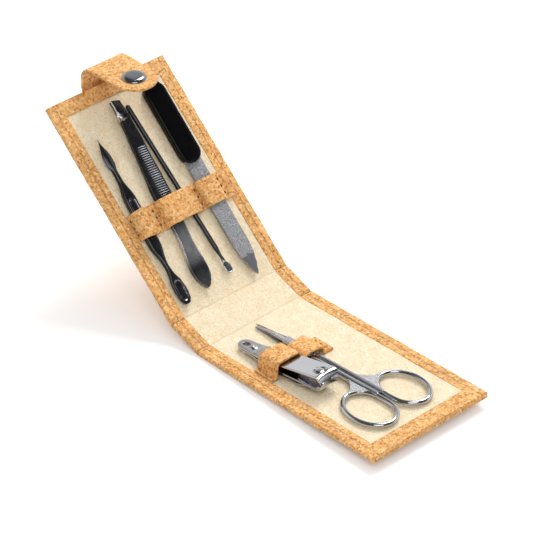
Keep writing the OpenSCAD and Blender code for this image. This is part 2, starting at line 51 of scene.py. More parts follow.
# how the open case lies: rises in degrees, sizes in mm
case = {
    "lowerRise": 2.064,
    "spineRise": 19.6,
    "upperRise": 41.65,
    "panelLength": 115.0,
    "width": 70.0,
    "hemTop": 2.8,
    "liningTop": 2.7,
    "toolGap": 0.3,          # the tools lie this far above the lining
    "foldSoftness": 2.2,     # half the length over which the cork turns at a fold
}
hinges = {j["name"]: Vector(j["pos_m"]) / mm for j in frame["joints"] if "pos_m" in j}
lowerFold = hinges["fold_lower"]
upperFold = hinges["fold_upper"]
foldPitch = (lowerFold - upperFold).length
lowerStart = case["hemTop"] * math.tan(math.radians(case["spineRise"] + case["lowerRise"]) / 2)
upperStart = case["hemTop"] * math.tan(math.radians(case["upperRise"] - case["spineRise"]) / 2)


def foldPath(s):
    # place (x, z) and rise on the hem's level, s mm from the lower fold towards the lower panel's end
    soft = case["foldSoftness"]
    middle = -foldPitch / 2
    if s > middle:
        corner, before, after = lowerFold, -case["spineRise"], case["lowerRise"]
        t = s
    else:
        corner, before, after = upperFold, -case["upperRise"], -case["spineRise"]
        t = s + foldPitch
    a0, a1 = math.radians(before), math.radians(after)
    if t >= soft:
        return corner.x + t * math.cos(a1), corner.z + t * math.sin(a1), a1
    if t <= -soft:
        return corner.x + t * math.cos(a0), corner.z + t * math.sin(a0), a0
    radius = soft / math.tan((a1 - a0) / 2)
    a = a0 + (a1 - a0) * (t + soft) / (2 * soft)
    x = corner.x - soft * math.cos(a0) + radius * (math.sin(a) - math.sin(a0))
    z = corner.z - soft * math.sin(a0) + radius * (math.cos(a0) - math.cos(a))
    return x, z, a


def onCase(p):
    x, z, a = foldPath(p[0])
    h = p[2] - case["hemTop"]
    return Vector((x - h * math.sin(a), p[1], z + h * math.cos(a)))


def onLower(p):
    return onCase((p[0] - lowerStart, p[1], p[2]))


def onUpper(p):
    return onCase((-foldPitch - p[0] + upperStart, p[1], p[2]))


def ease(knots, s):
    # cosine blend through knots of place and value
    if s <= knots[0][0]:
        return knots[0][1]
    for (x0, v0), (x1, v1) in zip(knots, knots[1:]):
        if s <= x1:
            u = (s - x0) / (x1 - x0)
            return v0 + (v1 - v0) * (1 - math.cos(math.pi * u)) / 2
    return knots[-1][1]


def smooth(a, b, t):
    u = min(max((t - a) / (b - a), 0), 1)
    return u * u * (3 - 2 * u)


# modelling helpers
def clearSelection():
    if bpy.context.object and bpy.context.object.mode != "OBJECT":
        bpy.ops.object.mode_set(mode="OBJECT")
    bpy.ops.object.select_all(action="DESELECT")


def activate(obj):
    clearSelection()
    obj.select_set(True)
    bpy.context.view_layer.objects.active = obj


def inEditMode(obj, *steps):
    activate(obj)
    bpy.ops.object.mode_set(mode="EDIT")
    bpy.ops.mesh.select_all(action="SELECT")
    for step in steps:
        step()
    bpy.ops.object.mode_set(mode="OBJECT")


def newest(name):
    obj = bpy.context.object
    obj.name = name.replace(" ", "-")
    obj.data.name = obj.name
    return obj


def addGrid(name, columns, rows):
    clearSelection()
    bpy.ops.mesh.primitive_grid_add(x_subdivisions=columns, y_subdivisions=rows, size=1)
    return newest(name)


def addBlock(name, low, high):
    clearSelection()
    bpy.ops.mesh.primitive_cube_add(size=1)
    obj = newest(name)
    low, high = Vector(low), Vector(high)
    shapeBy(obj, lambda p: [l + (c + 0.5) * (h - l) for l, h, c in zip(low, high, p)])
    return obj


def addDisc(name, radius, z0, z1, sides):
    clearSelection()
    bpy.ops.mesh.primitive_cylinder_add(vertices=sides, radius=radius, depth=z1 - z0,
                                        location=(0, 0, (z0 + z1) / 2))
    bpy.ops.object.transform_apply(location=True, rotation=True, scale=True)
    return newest(name)


def shapeBy(obj, rule):
    for v in obj.data.vertices:
        v.co = rule(v.co.copy())
    obj.data.update()


def cutAcross(obj, axis, places):
    # straight cuts across an axis, so that a flat piece can bend there
    normal = [0, 0, 0]
    normal[axis] = 1
    for place in places:
        point = [0, 0, 0]
        point[axis] = place
        inEditMode(obj, lambda: bpy.ops.mesh.bisect(plane_co=point, plane_no=normal))


def selectFaces(obj, test):
    activate(obj)
    bpy.ops.object.mode_set(mode="EDIT")
    bpy.ops.mesh.select_mode(type="FACE")
    bpy.ops.mesh.select_all(action="DESELECT")
    bpy.ops.object.mode_set(mode="OBJECT")
    for face in obj.data.polygons:
        face.select = bool(test(face.center, face.normal))
    bpy.ops.object.mode_set(mode="EDIT")


def applyModifier(obj, kind, **settings):
    activate(obj)
    modifier = obj.modifiers.new(kind.lower(), kind)
    for key, value in settings.items():
        setattr(modifier, key, value)
    bpy.ops.object.modifier_apply(modifier=modifier.name)


def roundEdges(obj, width, segments=3, angle=35):
    applyModifier(obj, "BEVEL", width=width, segments=segments, limit_method="ANGLE",
                  angle_limit=math.radians(angle), harden_normals=False)


def cutHole(obj, cutter):
    applyModifier(obj, "BOOLEAN", object=cutter, operation="DIFFERENCE", solver="EXACT")
    bpy.data.objects.remove(cutter)


def joinPieces(name, pieces):
    activate(pieces[0])
    for piece in pieces[1:]:
        piece.select_set(True)
    bpy.ops.object.join()
    return newest(name)


def loft(name, stations, around, section):
    # a closed tube along X: section(station, angle) gives a point on its skin
    obj = addGrid(name, len(stations) - 1, around)
    count = len(stations) - 1

    def skin(p):
        station = stations[round((p.x + 0.5) * count)]
        angle = (p.y + 0.5) * math.tau
        return section(station, angle)
    shapeBy(obj, skin)
    inEditMode(obj, lambda: bpy.ops.mesh.remove_doubles(threshold=1e-4),
               lambda: bpy.ops.mesh.fill_holes(sides=0),
               lambda: bpy.ops.mesh.normals_make_consistent(inside=False))
    return obj


def boxy(angle, half, high, power):
    # a point on a rounded-box outline
    c, s = math.cos(angle), math.sin(angle)
    return (half * math.copysign(abs(c) ** power, c), high * math.copysign(abs(s) ** power, s))


def slab(k, half, high, cut):
    # one of the eight corners of a flat bar's outline
    x, z = [(half, -1), (half, 1), (half - cut, 2), (cut - half, 2),
            (-half, 1), (-half, -1), (cut - half, -2), (half - cut, -2)][k % 8]
    return (x, math.copysign(high - (cut if abs(z) == 1 else 0), z))


def steps(a, b, count):
    return [a + (b - a) * i / count for i in range(count + 1)]


def placePiece(obj, rule, mirrored=False, smoothAngle=40):
    # from the panel's own millimetres to the case as it lies
    shapeBy(obj, lambda p: rule(p) * mm)
    if mirrored:
        obj.data.flip_normals()
    activate(obj)
    bpy.ops.object.shade_smooth_by_angle(angle=math.radians(smoothAngle))
    return obj


def coat(obj, material):
    obj.data.materials.clear()
    obj.data.materials.append(material)


def dress(obj, material, slot, *replaced):
    coat(obj, material)
    if replaced:
        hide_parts(*replaced)


def storeAlong(obj, attribute, rule):
    values = obj.data.attributes.new(attribute, "FLOAT", "POINT")
    values.data.foreach_set("value", [rule(v.co) for v in obj.data.vertices])


# material helpers
class Nodes:
    def __init__(self, name):
        self.material = bpy.data.materials.new(name)
        self.material.use_nodes = True
        self.tree = self.material.node_tree
        self.shader = self.tree.nodes["Principled BSDF"]
        self.coordinates = self.tree.nodes.new("ShaderNodeTexCoord").outputs["Object"]

    def add(self, kind, **settings):
        node = self.tree.nodes.new(kind)
        for key, value in settings.items():
            setattr(node, key, value)
        return node

    def link(self, a, b):
        self.tree.links.new(a, b)

    def put(self, **values):
        for key, value in values.items():
            self.shader.inputs[key.replace("_", " ")].default_value = value

    def paint(self, colour):
        self.link(colour, self.shader.inputs["Base Color"])

    def polish(self, roughness):
        self.link(roughness, self.shader.inputs["Roughness"])

    def noise(self, scale, detail=3, roughness=0.5, distortion=0.0, stretch=None):
        node = self.add("ShaderNodeTexNoise")
        for key, value in (("Scale", scale), ("Detail", detail), ("Roughness", roughness),
                           ("Distortion", distortion)):
            node.inputs[key].default_value = value
        self.link(self.placed(stretch), node.inputs["Vector"])
        return node.outputs["Fac"]

    def cells(self, scale, output="Distance"):
        node = self.add("ShaderNodeTexVoronoi")
        node.inputs["Scale"].default_value = scale
        self.link(self.coordinates, node.inputs["Vector"])
        return node.outputs[output]

    def placed(self, stretch):
        if not stretch:
            return self.coordinates
        node = self.add("ShaderNodeMapping")
        node.inputs["Scale"].default_value = stretch
        self.link(self.coordinates, node.inputs["Vector"])
        return node.outputs["Vector"]

    def ramp(self, value, *stops):
        node = self.add("ShaderNodeValToRGB")
        elements = node.color_ramp.elements
        while len(elements) < len(stops):
            elements.new(0.5)
        for element, (place, colour) in zip(elements, stops):
            element.position = place
            element.color = (*colour, 1) if isinstance(colour, tuple) else (colour, colour, colour, 1)
        self.link(value, node.inputs["Fac"])
        return node.outputs["Color"]

    def mix(self, factor, a, b, blend="MIX"):
        node = self.add("ShaderNodeMix", data_type="RGBA", blend_type=blend)
        for socket, value in ((node.inputs["Factor"], factor), (node.inputs["A"], a), (node.inputs["B"], b)):
            if isinstance(value, (int, float)):
                socket.default_value = value if socket.type == "VALUE" else (value, value, value, 1)
            elif isinstance(value, tuple):
                socket.default_value = (*value, 1)
            else:
                self.link(value, socket)
        return [o for o in node.outputs if o.type == "RGBA"][0]

    def calc(self, a, b, operation, clamp=False):
        node = self.add("ShaderNodeMath", operation=operation, use_clamp=clamp)
        for socket, value in ((node.inputs[0], a), (node.inputs[1], b)):
            if isinstance(value, (int, float)):
                socket.default_value = value
            else:
                self.link(value, socket)
        return node.outputs[0]

    def plus(self, a, b, clamp=False):
        return self.calc(a, b, "ADD", clamp)

    def times(self, a, b):
        return self.calc(a, b, "MULTIPLY")

    def attribute(self, name):
        return self.add("ShaderNodeAttribute", attribute_name=name).outputs["Fac"]

    def bump(self, height, strength, distance):
        node = self.add("ShaderNodeBump")
        node.inputs["Strength"].default_value = strength
        node.inputs["Distance"].default_value = distance
        self.link(height, node.inputs["Height"])
        self.link(node.outputs["Normal"], self.shader.inputs["Normal"])

    def softEdges(self, radius):
        node = self.add("ShaderNodeBevel", samples=6)
        node.inputs["Radius"].default_value = radius
        self.link(node.outputs["Normal"], self.shader.inputs["Normal"])


# cork: ochre granules with cream flecks, brown veins and dark pores, with painted shade in the creases
corkLook = {
    "deep": (0.45, 0.175, 0.040),
    "body": (0.75, 0.36, 0.108),
    "light": (0.87, 0.495, 0.185),
    "cream": (0.97, 0.71, 0.39),
    "vein": (0.20, 0.07, 0.016),
    "pore": (0.045, 0.016, 0.006),
    "pressed": (0.62, 0.5, 0.42),
    "granule": 1100,         # granules in a metre
    "pressLine": 31.6,       # mm from the middle to the line pressed along the side hems
}


def corkMaterial(name, shade=(1.0, 1.0, 1.0), pressed=False):
    n = Nodes(name)
    granules = n.cells(corkLook["granule"], output="Color")
    tone = n.ramp(granules, (0.12, corkLook["deep"]), (0.32, corkLook["body"]), (0.66, corkLook["light"]),
                  (0.93, corkLook["cream"]))
    broad = n.ramp(n.noise(420, 5, 0.65), (0.32, corkLook["body"]), (0.68, corkLook["light"]))
    colour = n.mix(0.2, tone, broad)
    veins = n.ramp(n.noise(620, 5, 0.75, 0.8, (1, 1.3, 1)), (0.38, 1.0), (0.47, 0.0))
    colour = n.mix(n.times(veins, 0.42), colour, corkLook["vein"])
    pores = n.ramp(n.noise(1150, 2, 0.5), (0.28, 1.0), (0.33, 0.0))
    colour = n.mix(n.times(pores, 0.85), colour, corkLook["pore"])
    patches = n.ramp(n.noise(55, 3, 0.6), (0.35, 0.86), (0.65, 1.06))
    colour = n.mix(1.0, colour, patches, "MULTIPLY")
    relief = n.plus(n.noise(1300, 4, 0.65), n.times(pores, -0.6))
    if pressed:
        across = n.add("ShaderNodeSeparateXYZ")
        n.link(n.coordinates, across.inputs[0])
        side = n.calc(across.outputs["Y"], 0, "ABSOLUTE")
        off = n.calc(n.calc(side, corkLook["pressLine"] * mm, "SUBTRACT"), 0, "ABSOLUTE")
        line = n.ramp(n.times(off, 2500.0), (0.15, 1.0), (0.9, 0.0))
        broken = n.times(line, n.ramp(n.noise(500, 3), (0.42, 0.0), (0.6, 0.8)))
        colour = n.mix(broken, colour, n.mix(1.0, colour, corkLook["pressed"], "MULTIPLY"))
        relief = n.plus(relief, n.times(line, -1.0))
    # painted shade: the cork darkens to the vein colour in the folds' creases and on the sides of the end hem's
    # flap
    crease = n.plus(n.attribute("crease"), n.times(n.attribute("mitre"), 0.75), clamp=True)
    uneven = n.ramp(n.noise(700, 3), (0.35, 0.25), (0.6, 0.9))
    colour = n.mix(n.times(crease, uneven), colour, corkLook["vein"])
    if shade != (1.0, 1.0, 1.0):
        colour = n.mix(1.0, colour, shade, "MULTIPLY")
    n.paint(colour)
    n.put(Roughness=0.7, Specular_IOR_Level=0.28)
    n.bump(relief, 0.9, 0.0004)
    return n.material


liningLook = {
    "body": (0.95, 0.785, 0.535),
    "light": (1.0, 0.89, 0.67),
    "tuft": (0.66, 0.48, 0.27),
    "nap": (0.60, 0.44, 0.26),
    # painted shade colour for the creases at the folds
    "fold": (0.5, 0.31, 0.13),
}


def liningMaterial():
    n = Nodes("napped lining")
    nap = n.noise(2300, 4, 0.7, 0.5)
    tufts = n.noise(950, 3, 0.7, 0.8)
    mottle = n.noise(200, 4, 0.65)
    colour = n.mix(n.ramp(mottle, (0.35, 0.0), (0.65, 1.0)), liningLook["body"], liningLook["light"])
    colour = n.mix(n.ramp(tufts, (0.38, 0.42), (0.5, 0.0)), colour, liningLook["tuft"])
    colour = n.mix(n.ramp(nap, (0.38, 0.22), (0.52, 0.0)), colour, liningLook["nap"])
    # painted shade: the lining darkens towards the fold colour in the folds' creases
    uneven = n.ramp(tufts, (0.35, 0.12), (0.6, 0.4))
    colour = n.mix(n.times(n.attribute("crease"), uneven), colour, liningLook["fold"])
    n.paint(colour)
    n.put(Roughness=0.95, Specular_IOR_Level=0.1, Sheen_Weight=0.2, Sheen_Roughness=0.5)
    n.bump(n.plus(n.times(nap, 0.3), tufts), 1.0, 0.0008)
    return n.material


def threadMaterial(name, dark, light):
    n = Nodes(name)
    colour = n.mix(n.noise(2500, 2), dark, light)
    n.paint(colour)
    n.put(Roughness=0.6)
    n.bump(n.cells(3000), 0.4, 0.0001)
    return n.material


def boardMaterial():
    n = Nodes("grey board")
    colour = n.mix(n.noise(900, 4), (0.30, 0.27, 0.23), (0.42, 0.38, 0.33))
    n.paint(colour)
    n.put(Roughness=0.9)
    return n.material


def steelMaterial(name, colour, rough):
    # the attribute "brushed" makes a place duller
    n = Nodes(name)
    wear = n.noise(240, 4, 0.6)
    n.paint(n.mix(wear, tuple(0.88 * c for c in colour), colour))
    n.put(Metallic=1.0)
    polish = n.plus(n.times(wear, 0.08), rough)
    n.polish(n.plus(polish, n.times(n.attribute("brushed"), 0.22)))
    n.softEdges(0.00018)
    return n.material


def blackSteelMaterial(name, soft=True):
    # a satin black coating, mixed towards bright steel where a painted highlight is marked
    n = Nodes(name)
    wear = n.noise(330, 4, 0.6)
    coat = n.mix(wear, (0.045, 0.046, 0.052), (0.085, 0.087, 0.095))
    n.paint(n.mix(n.attribute("painted_highlight"), coat, (0.70, 0.71, 0.74)))
    n.put(Metallic=1.0)
    n.polish(n.ramp(wear, (0.3, 0.2), (0.7, 0.3)))
    if soft:
        n.softEdges(0.0002)
    return n.material


def gritMaterial():
    # crushed grains, with none where the attribute "bare" is 1
    n = Nodes("file grit")
    sparkle = n.cells(4600, output="Color")
    colour = n.ramp(sparkle, (0.0, (0.16, 0.16, 0.17)), (0.55, (0.33, 0.34, 0.36)),
                    (0.88, (0.72, 0.74, 0.78)))
    bare = n.attribute("bare")
    n.paint(n.mix(bare, colour, (0.34, 0.35, 0.38)))
    n.put(Metallic=0.8)
    n.polish(n.mix(bare, 0.46, 0.24))
    n.bump(n.times(n.cells(4200), n.calc(1.0, bare, "SUBTRACT")), 0.9, 0.0003)
    return n.material


def plasticMaterial():
    n = Nodes("black plastic")
    wear = n.noise(300, 3)
    n.paint(n.mix(wear, (0.0015, 0.0015, 0.002), (0.003, 0.003, 0.0035)))
    n.polish(n.ramp(wear, (0.3, 0.12), (0.7, 0.18)))
    n.put(Specular_IOR_Level=0.16)
    n.softEdges(0.0003)
    return n.material


cork = corkMaterial("cork cover", pressed=True)
corkBand = corkMaterial("cork band", (0.93, 0.91, 0.88))
lining = liningMaterial()
thread = threadMaterial("dark waxed thread", (0.055, 0.026, 0.011), (0.13, 0.062, 0.026))
tanThread = threadMaterial("tan thread", (0.34, 0.15, 0.045), (0.50, 0.25, 0.085))
board = boardMaterial()
chrome = steelMaterial("polished steel", (0.55, 0.56, 0.585), 0.06)
blackSteel = blackSteelMaterial("black steel")
ribbedSteel = blackSteelMaterial("ribbed black steel", soft=False)
gunmetal = steelMaterial("dark nickel", (0.30, 0.31, 0.33), 0.16)
grit = gritMaterial()
plastic = plasticMaterial()
slotLooks = {"cork": corkBand, "board": board, "lining": lining, "thread": thread, "snap_metal": gunmetal,
             "black_steel": blackSteel, "file_grit": grit, "handle_plastic": plastic, "chrome_steel": chrome}
for part in frame["record"]["subparts"]:
    coat(frame["nodes"][part["node"]], slotLooks[part["material_slot"]])
print("materials made and CAD nodes dressed")


# camera, light and floor
studio = {
    "azimuth": 47.534,
    "elevation": 34.817,
    "roll": -0.117,
    "distance": 1519.8,
    "aim": (-7.70, 9.80, 26.62),
    "lens": 224.9,
    "sensor": 36,
    "farthest": 20,          # m to the end of the camera's view
    "floorSize": 4000.0,
    "floorTone": 0.86,
    "floorGlow": 0.14,       # lifts the floor to white where the camera sees it
    "worldDark": 0.44,       # the room towards the right and behind the camera
    "worldLight": 1.0,       # the bright side, over the case's back left
    "shineDark": 0.1,        # polished metal mirrors a dark room above a bright backdrop
    "shineLight": 1.05,
    "backdropTop": (0.34, 0.70),   # heights over which the backdrop gives way to the room
    "cameraSide": (0.74, -0.67, 0),
    "brightSide": (-0.55, 0.35, 0.76),
    "keyPower": 12.0,
    "keySize": 0.55,
    "keyPlace": (-0.36, 0.80, 1.16),
    "fillPower": 6.5,
    "fillSize": 0.9,
    "fillPlace": (0.85, -0.65, 1.15),
}


def addCamera():
    az, el = math.radians(studio["azimuth"]), math.radians(studio["elevation"])
    back = Vector((math.sin(az) * math.cos(el), -math.cos(az) * math.cos(el), math.sin(el)))
    aim = Vector(studio["aim"]) * mm
    clearSelection()
    bpy.ops.object.camera_add(location=aim + back * studio["distance"] * mm)
    camera = bpy.context.object
    turn = back.to_track_quat("Z", "Y").to_matrix().to_4x4()
    roll = Matrix.Rotation(math.radians(studio["roll"]), 4, "Z")
    camera.matrix_world = Matrix.Translation(camera.location) @ turn @ roll
    camera.data.lens = studio["lens"]
    camera.data.sensor_width = studio["sensor"]
    camera.data.clip_end = studio["farthest"]
    bpy.context.scene.camera = camera


def addLamp(name, place, size, power):
    clearSelection()
    bpy.ops.object.light_add(type="AREA", location=place)
    lamp = bpy.context.object
    lamp.name = name
    lamp.data.size = size
    lamp.data.energy = power
    aim = Vector(studio["aim"]) * mm - Vector(place)
    lamp.rotation_euler = aim.to_track_quat("-Z", "Y").to_euler()


def addFloor():
    half = studio["floorSize"] / 2 * mm
    floor = addGrid("floor", 8, 8)
    shapeBy(floor, lambda p: Vector((p.x * 2 * half, p.y * 2 * half, 0)))
    n = Nodes("pale floor")
    tone = studio["floorTone"]
    n.put(Roughness=0.9, Base_Color=(tone, tone, tone, 1), Specular_IOR_Level=0.1)
    path = n.add("ShaderNodeLightPath")
    seen = n.plus(path.outputs["Is Camera Ray"], n.plus(path.outputs["Is Glossy Ray"],
                 path.outputs["Is Transmission Ray"]), clamp=True)
    glow = n.add("ShaderNodeEmission")
    glow.inputs["Color"].default_value = (1, 1, 1, 1)
    n.link(n.times(seen, studio["floorGlow"]), glow.inputs["Strength"])
    both = n.add("ShaderNodeAddShader")
    n.link(n.shader.outputs["BSDF"], both.inputs[0])
    n.link(glow.outputs["Emission"], both.inputs[1])
    n.link(both.outputs["Shader"], n.tree.nodes["Material Output"].inputs["Surface"])
    floor.data.materials.append(n.material)


def addWorld():
    world = bpy.data.worlds.new("studio")
    bpy.context.scene.world = world
    world.use_nodes = True
    tree = world.node_tree
    background = tree.nodes["Background"]
    background.inputs["Color"].default_value = (1, 1, 1, 1)

    def node(kind, *links, **inputs):
        made = tree.nodes.new(kind)
        for socket, source in links:
            tree.links.new(source, made.inputs[socket])
        for key, value in inputs.items():
            made.inputs[key.replace("_", " ")].default_value = value
        return made

    direction = node("ShaderNodeTexCoord").outputs["Generated"]
    facing = node("ShaderNodeVectorMath", (0, direction))
    facing.operation = "DOT_PRODUCT"
    facing.inputs[1].default_value = Vector(studio["brightSide"]).normalized()
    level = node("ShaderNodeMapRange", ("Value", facing.outputs["Value"]), From_Min=-0.1, From_Max=0.95,
                 To_Min=studio["worldDark"], To_Max=studio["worldLight"])
    apart = node("ShaderNodeSeparateXYZ", (0, direction))
    below = node("ShaderNodeMapRange", ("Value", apart.outputs["Z"]), From_Min=studio["backdropTop"][0],
                 From_Max=studio["backdropTop"][1], To_Min=1.0, To_Max=0.0)
    nearby = node("ShaderNodeVectorMath", (0, direction))
    nearby.operation = "DOT_PRODUCT"
    nearby.inputs[1].default_value = studio["cameraSide"]
    behind = node("ShaderNodeMapRange", ("Value", nearby.outputs["Value"]), From_Min=-0.1, From_Max=0.35,
                  To_Min=1.0, To_Max=0.0)
    backdrop = node("ShaderNodeMath", (0, below.outputs["Result"]), (1, behind.outputs["Result"]))
    backdrop.operation = "MULTIPLY"
    shine = node("ShaderNodeMapRange", ("Value", backdrop.outputs[0]), To_Min=studio["shineDark"],
                 To_Max=studio["shineLight"])
    path = node("ShaderNodeLightPath")
    room = node("ShaderNodeMix", ("Factor", path.outputs["Is Glossy Ray"]), ("A", level.outputs["Result"]),
                ("B", shine.outputs["Result"]))
    seen = node("ShaderNodeMath", (0, path.outputs["Is Camera Ray"]),
                (1, path.outputs["Is Transmission Ray"]))
    seen.operation = "ADD"
    seen.use_clamp = True
    strength = node("ShaderNodeMix", ("Factor", seen.outputs[0]), ("A", room.outputs["Result"]), B=1.0)
    tree.links.new(strength.outputs["Result"], background.inputs["Strength"])


bpy.context.scene.view_settings.view_transform = "Standard"
addCamera()
addWorld()
addFloor()
addLamp("key", studio["keyPlace"], studio["keySize"], studio["keyPower"])
addLamp("fill", studio["fillPlace"], studio["fillSize"], studio["fillPower"])
print("camera, light and floor set")

# cork cover: a skin over each fold, hemmed round the lining
cover = {
    "hemLevel": 2.78,        # the hem stands a little proud of the lining
    "endLevel": 2.93,        # the end hem is turned over the side hems
    "sideHem": 7.1,
    "topHem": 7.6,
    "bottomHem": 8.8,
    "windowDepth": 0.7,
    "edgeRound": 0.75,
    "wave": 0.16,
    "creaseDepth": 0.45,
    "creaseWidth": 0.7,
    "creaseShadeWidth": 0.38,      # width of the painted shade line in a crease
    "spare": 1.2,            # grown past the middle of the spine and laid back flat, so no end wall stands
    "foldReach": 4.0,        # a sheet bends this far on either side of a fold
}
lowerEnd = case["panelLength"] - lowerStart
upperEnd = -foldPitch - case["panelLength"] + upperStart
spineMiddle = -foldPitch / 2


def corkWave(p, size, amount):
    return amount * noise.noise(p * (1 / size))


def creaseShadeAt(p):
    # mask for painted shade in the creases: 1 along either fold of the case, 0 a little way off
    bend = 0.25 * noise.noise(Vector((0, p.y / 4, 0)))
    return max(math.exp(-((p.x + bend - f) / cover["creaseShadeWidth"]) ** 2) for f in (0, -foldPitch))


def makeCover(name, s0, s1, hem, atHigh):
    half, level = case["width"] / 2, cover["hemLevel"]
    low, high = (s0 - cover["spare"], s1) if atHigh else (s0, s1 + cover["spare"])
    skin = addBlock(name, (low, -half, 0), (high, half, level))
    inner = half - cover["sideHem"]
    hemLine = s1 - hem if atHigh else s0 + hem
    cutAcross(skin, 1, (-inner, inner))
    cutAcross(skin, 0, (hemLine,))
    selectFaces(skin, lambda c, n: n.z > 0.9 and abs(c.y) < inner and (c.x < hemLine) == atHigh)
    bpy.ops.mesh.extrude_region_move(TRANSFORM_OT_translate={"value": (0, 0, -cover["windowDepth"])})
    bpy.ops.object.mode_set(mode="OBJECT")
    roundEdges(skin, cover["edgeRound"], 4)
    corner = half - 0.15
    flap = addBlock(name + " end", (0, -1, level - 0.2), (1, 1, cover["endLevel"]))

    def mitre(p):
        s = s1 - 0.2 - p.x * (hem - 0.2) if atHigh else s0 + 0.2 + p.x * (hem - 0.2)
        return Vector((s, p.y * (corner + (inner - corner) * p.x), p.z))
    shapeBy(flap, mitre)
    if atHigh:
        flap.data.flip_normals()
    roundEdges(flap, 0.3, 3)
    # mask for painted shade on the flap's sides and lower rounding, none on its top
    storeAlong(flap, "mitre", lambda p: 1.0 if p.z < cover["endLevel"] - 0.02 else 0.0)
    skin = joinPieces(name, [skin, flap])
    cutAcross(skin, 0, [s for s in steps(s0 + 4, s1 - 4, 26)])
    for fold in (0, -foldPitch):
        if s0 < fold < s1:
            cutAcross(skin, 0, steps(fold - 3.3, fold + 3.3, 12) + steps(fold - 0.9, fold + 0.9, 6))

    def soften(p):
        edge = smooth(half - 3, half, abs(p.y))
        crease = max(math.exp(-((p.x - f) / cover["creaseWidth"]) ** 2) for f in (0, -foldPitch))
        lift = corkWave(p, 9, cover["wave"]) * (0.4 + 0.6 * edge)
        drop = cover["creaseDepth"] * crease * smooth(1.5, level, p.z)
        side = math.copysign(corkWave(p + Vector((50, 0, 0)), 12, 0.5) * edge, p.y)
        along = max(p.x, s0) if atHigh else min(p.x, s1)
        spared = abs(along - p.x) > 0 and abs(p.y) < inner - 0.02
        z = min(p.z, level - cover["windowDepth"]) if spared else p.z
        return Vector((along, p.y + side, z + lift * smooth(0.5, 2.5, z) - drop))
    shapeBy(skin, soften)
    # mask for painted shade in the folds' creases
    storeAlong(skin, "crease", creaseShadeAt)
    return placePiece(skin, onCase, smoothAngle=50)


lowerCover = makeCover("lower cork cover", spineMiddle, lowerEnd, cover["bottomHem"], True)
upperCover = makeCover("upper cork cover", upperEnd, spineMiddle, cover["topHem"], False)
dress(lowerCover, cork, "cork", "lower_cover", "spine_cover")
dress(upperCover, cork, "cork", "upper_cover", "spine_cover")


# lining: one napped sheet, bent at the folds
liningSheet = {
    "level": 2.46,
    "thickness": 0.35,
    "tuck": 0.5,             # under the side hems
    "endTuck": 0.6,          # under the end hems
    "overlap": 0.8,          # of the two sheets at the middle of the spine
    "ripple": 0.1,
    "crease": 0.14,
    "creaseWidth": 0.6,
}


def makeLining(name, s0, s1):
    half = case["width"] / 2 - cover["sideHem"] + liningSheet["tuck"]
    sheet = addGrid(name, 150, 40)

    def lay(p):
        s = s0 + (p.x + 0.5) * (s1 - s0)
        y = p.y * 2 * half
        crease = max(math.exp(-((s - f) / liningSheet["creaseWidth"]) ** 2) for f in (0, -foldPitch))
        ripple = corkWave(Vector((s, y, 0)), 14, liningSheet["ripple"])
        overlap = 0.04 * smooth(spineMiddle, spineMiddle + 0.1, s) if s1 < 0 else 0
        return Vector((s, y, liningSheet["level"] + ripple - liningSheet["crease"] * crease - overlap))
    shapeBy(sheet, lay)
    for fold in (0, -foldPitch):
        if s0 < fold < s1:
            cutAcross(sheet, 0, steps(fold - 1.0, fold + 1.0, 10))
    # mask for painted shade in the folds' creases
    storeAlong(sheet, "crease", creaseShadeAt)
    applyModifier(sheet, "SOLIDIFY", thickness=liningSheet["thickness"], offset=-1)
    return placePiece(sheet, onCase, smoothAngle=60)


lowerLining = makeLining("lower lining sheet", spineMiddle,
                         lowerEnd - cover["bottomHem"] + liningSheet["endTuck"])
upperLining = makeLining("upper lining sheet", upperEnd + cover["topHem"] - liningSheet["endTuck"],
                         spineMiddle + liningSheet["overlap"])
dress(lowerLining, lining, "lining", "lower_lining", "spine_lining")
dress(upperLining, lining, "lining", "upper_lining", "spine_lining")
for piece in (lowerCover, lowerLining):
    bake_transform(piece)
for piece in (upperCover, upperLining):
    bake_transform(piece)
print("cork cover and lining laid over the folds")


# bands: strips of cork sewn down between the tools
def roundedPath(points, cut):
    out = [Vector(points[0])]
    for a, b, c in zip(points, points[1:], points[2:]):
        a, b, c = Vector(a), Vector(b), Vector(c)
        reach = min(cut, (b - a).length * 0.45, (c - b).length * 0.45)
        start, end = b + (a - b).normalized() * reach, b + (c - b).normalized() * reach
        out += [(1 - t) ** 2 * start + 2 * t * (1 - t) * b + t * t * end for t in (0, 0.25, 0.5, 0.75, 1)]
    return out + [Vector(points[-1])]


def evenly(points, count):
    # places spaced evenly along a line of points
    lengths = [0.0]
    for a, b in zip(points, points[1:]):
        lengths.append(lengths[-1] + (b - a).length)
    out, k = [], 0
    for target in steps(0, lengths[-1], count):
        while k < len(lengths) - 2 and lengths[k + 1] < target:
            k += 1
        span = max(lengths[k + 1] - lengths[k], 1e-9)
        out.append(points[k].lerp(points[k + 1], min(max((target - lengths[k]) / span, 0), 1)))
    return out


# how any strip is cut: rounding of its bends and edges, and how uneven it lies
band = {"corner": 1.6, "edge": 0.18, "wave": 0.12, "edgeWave": 0.35}


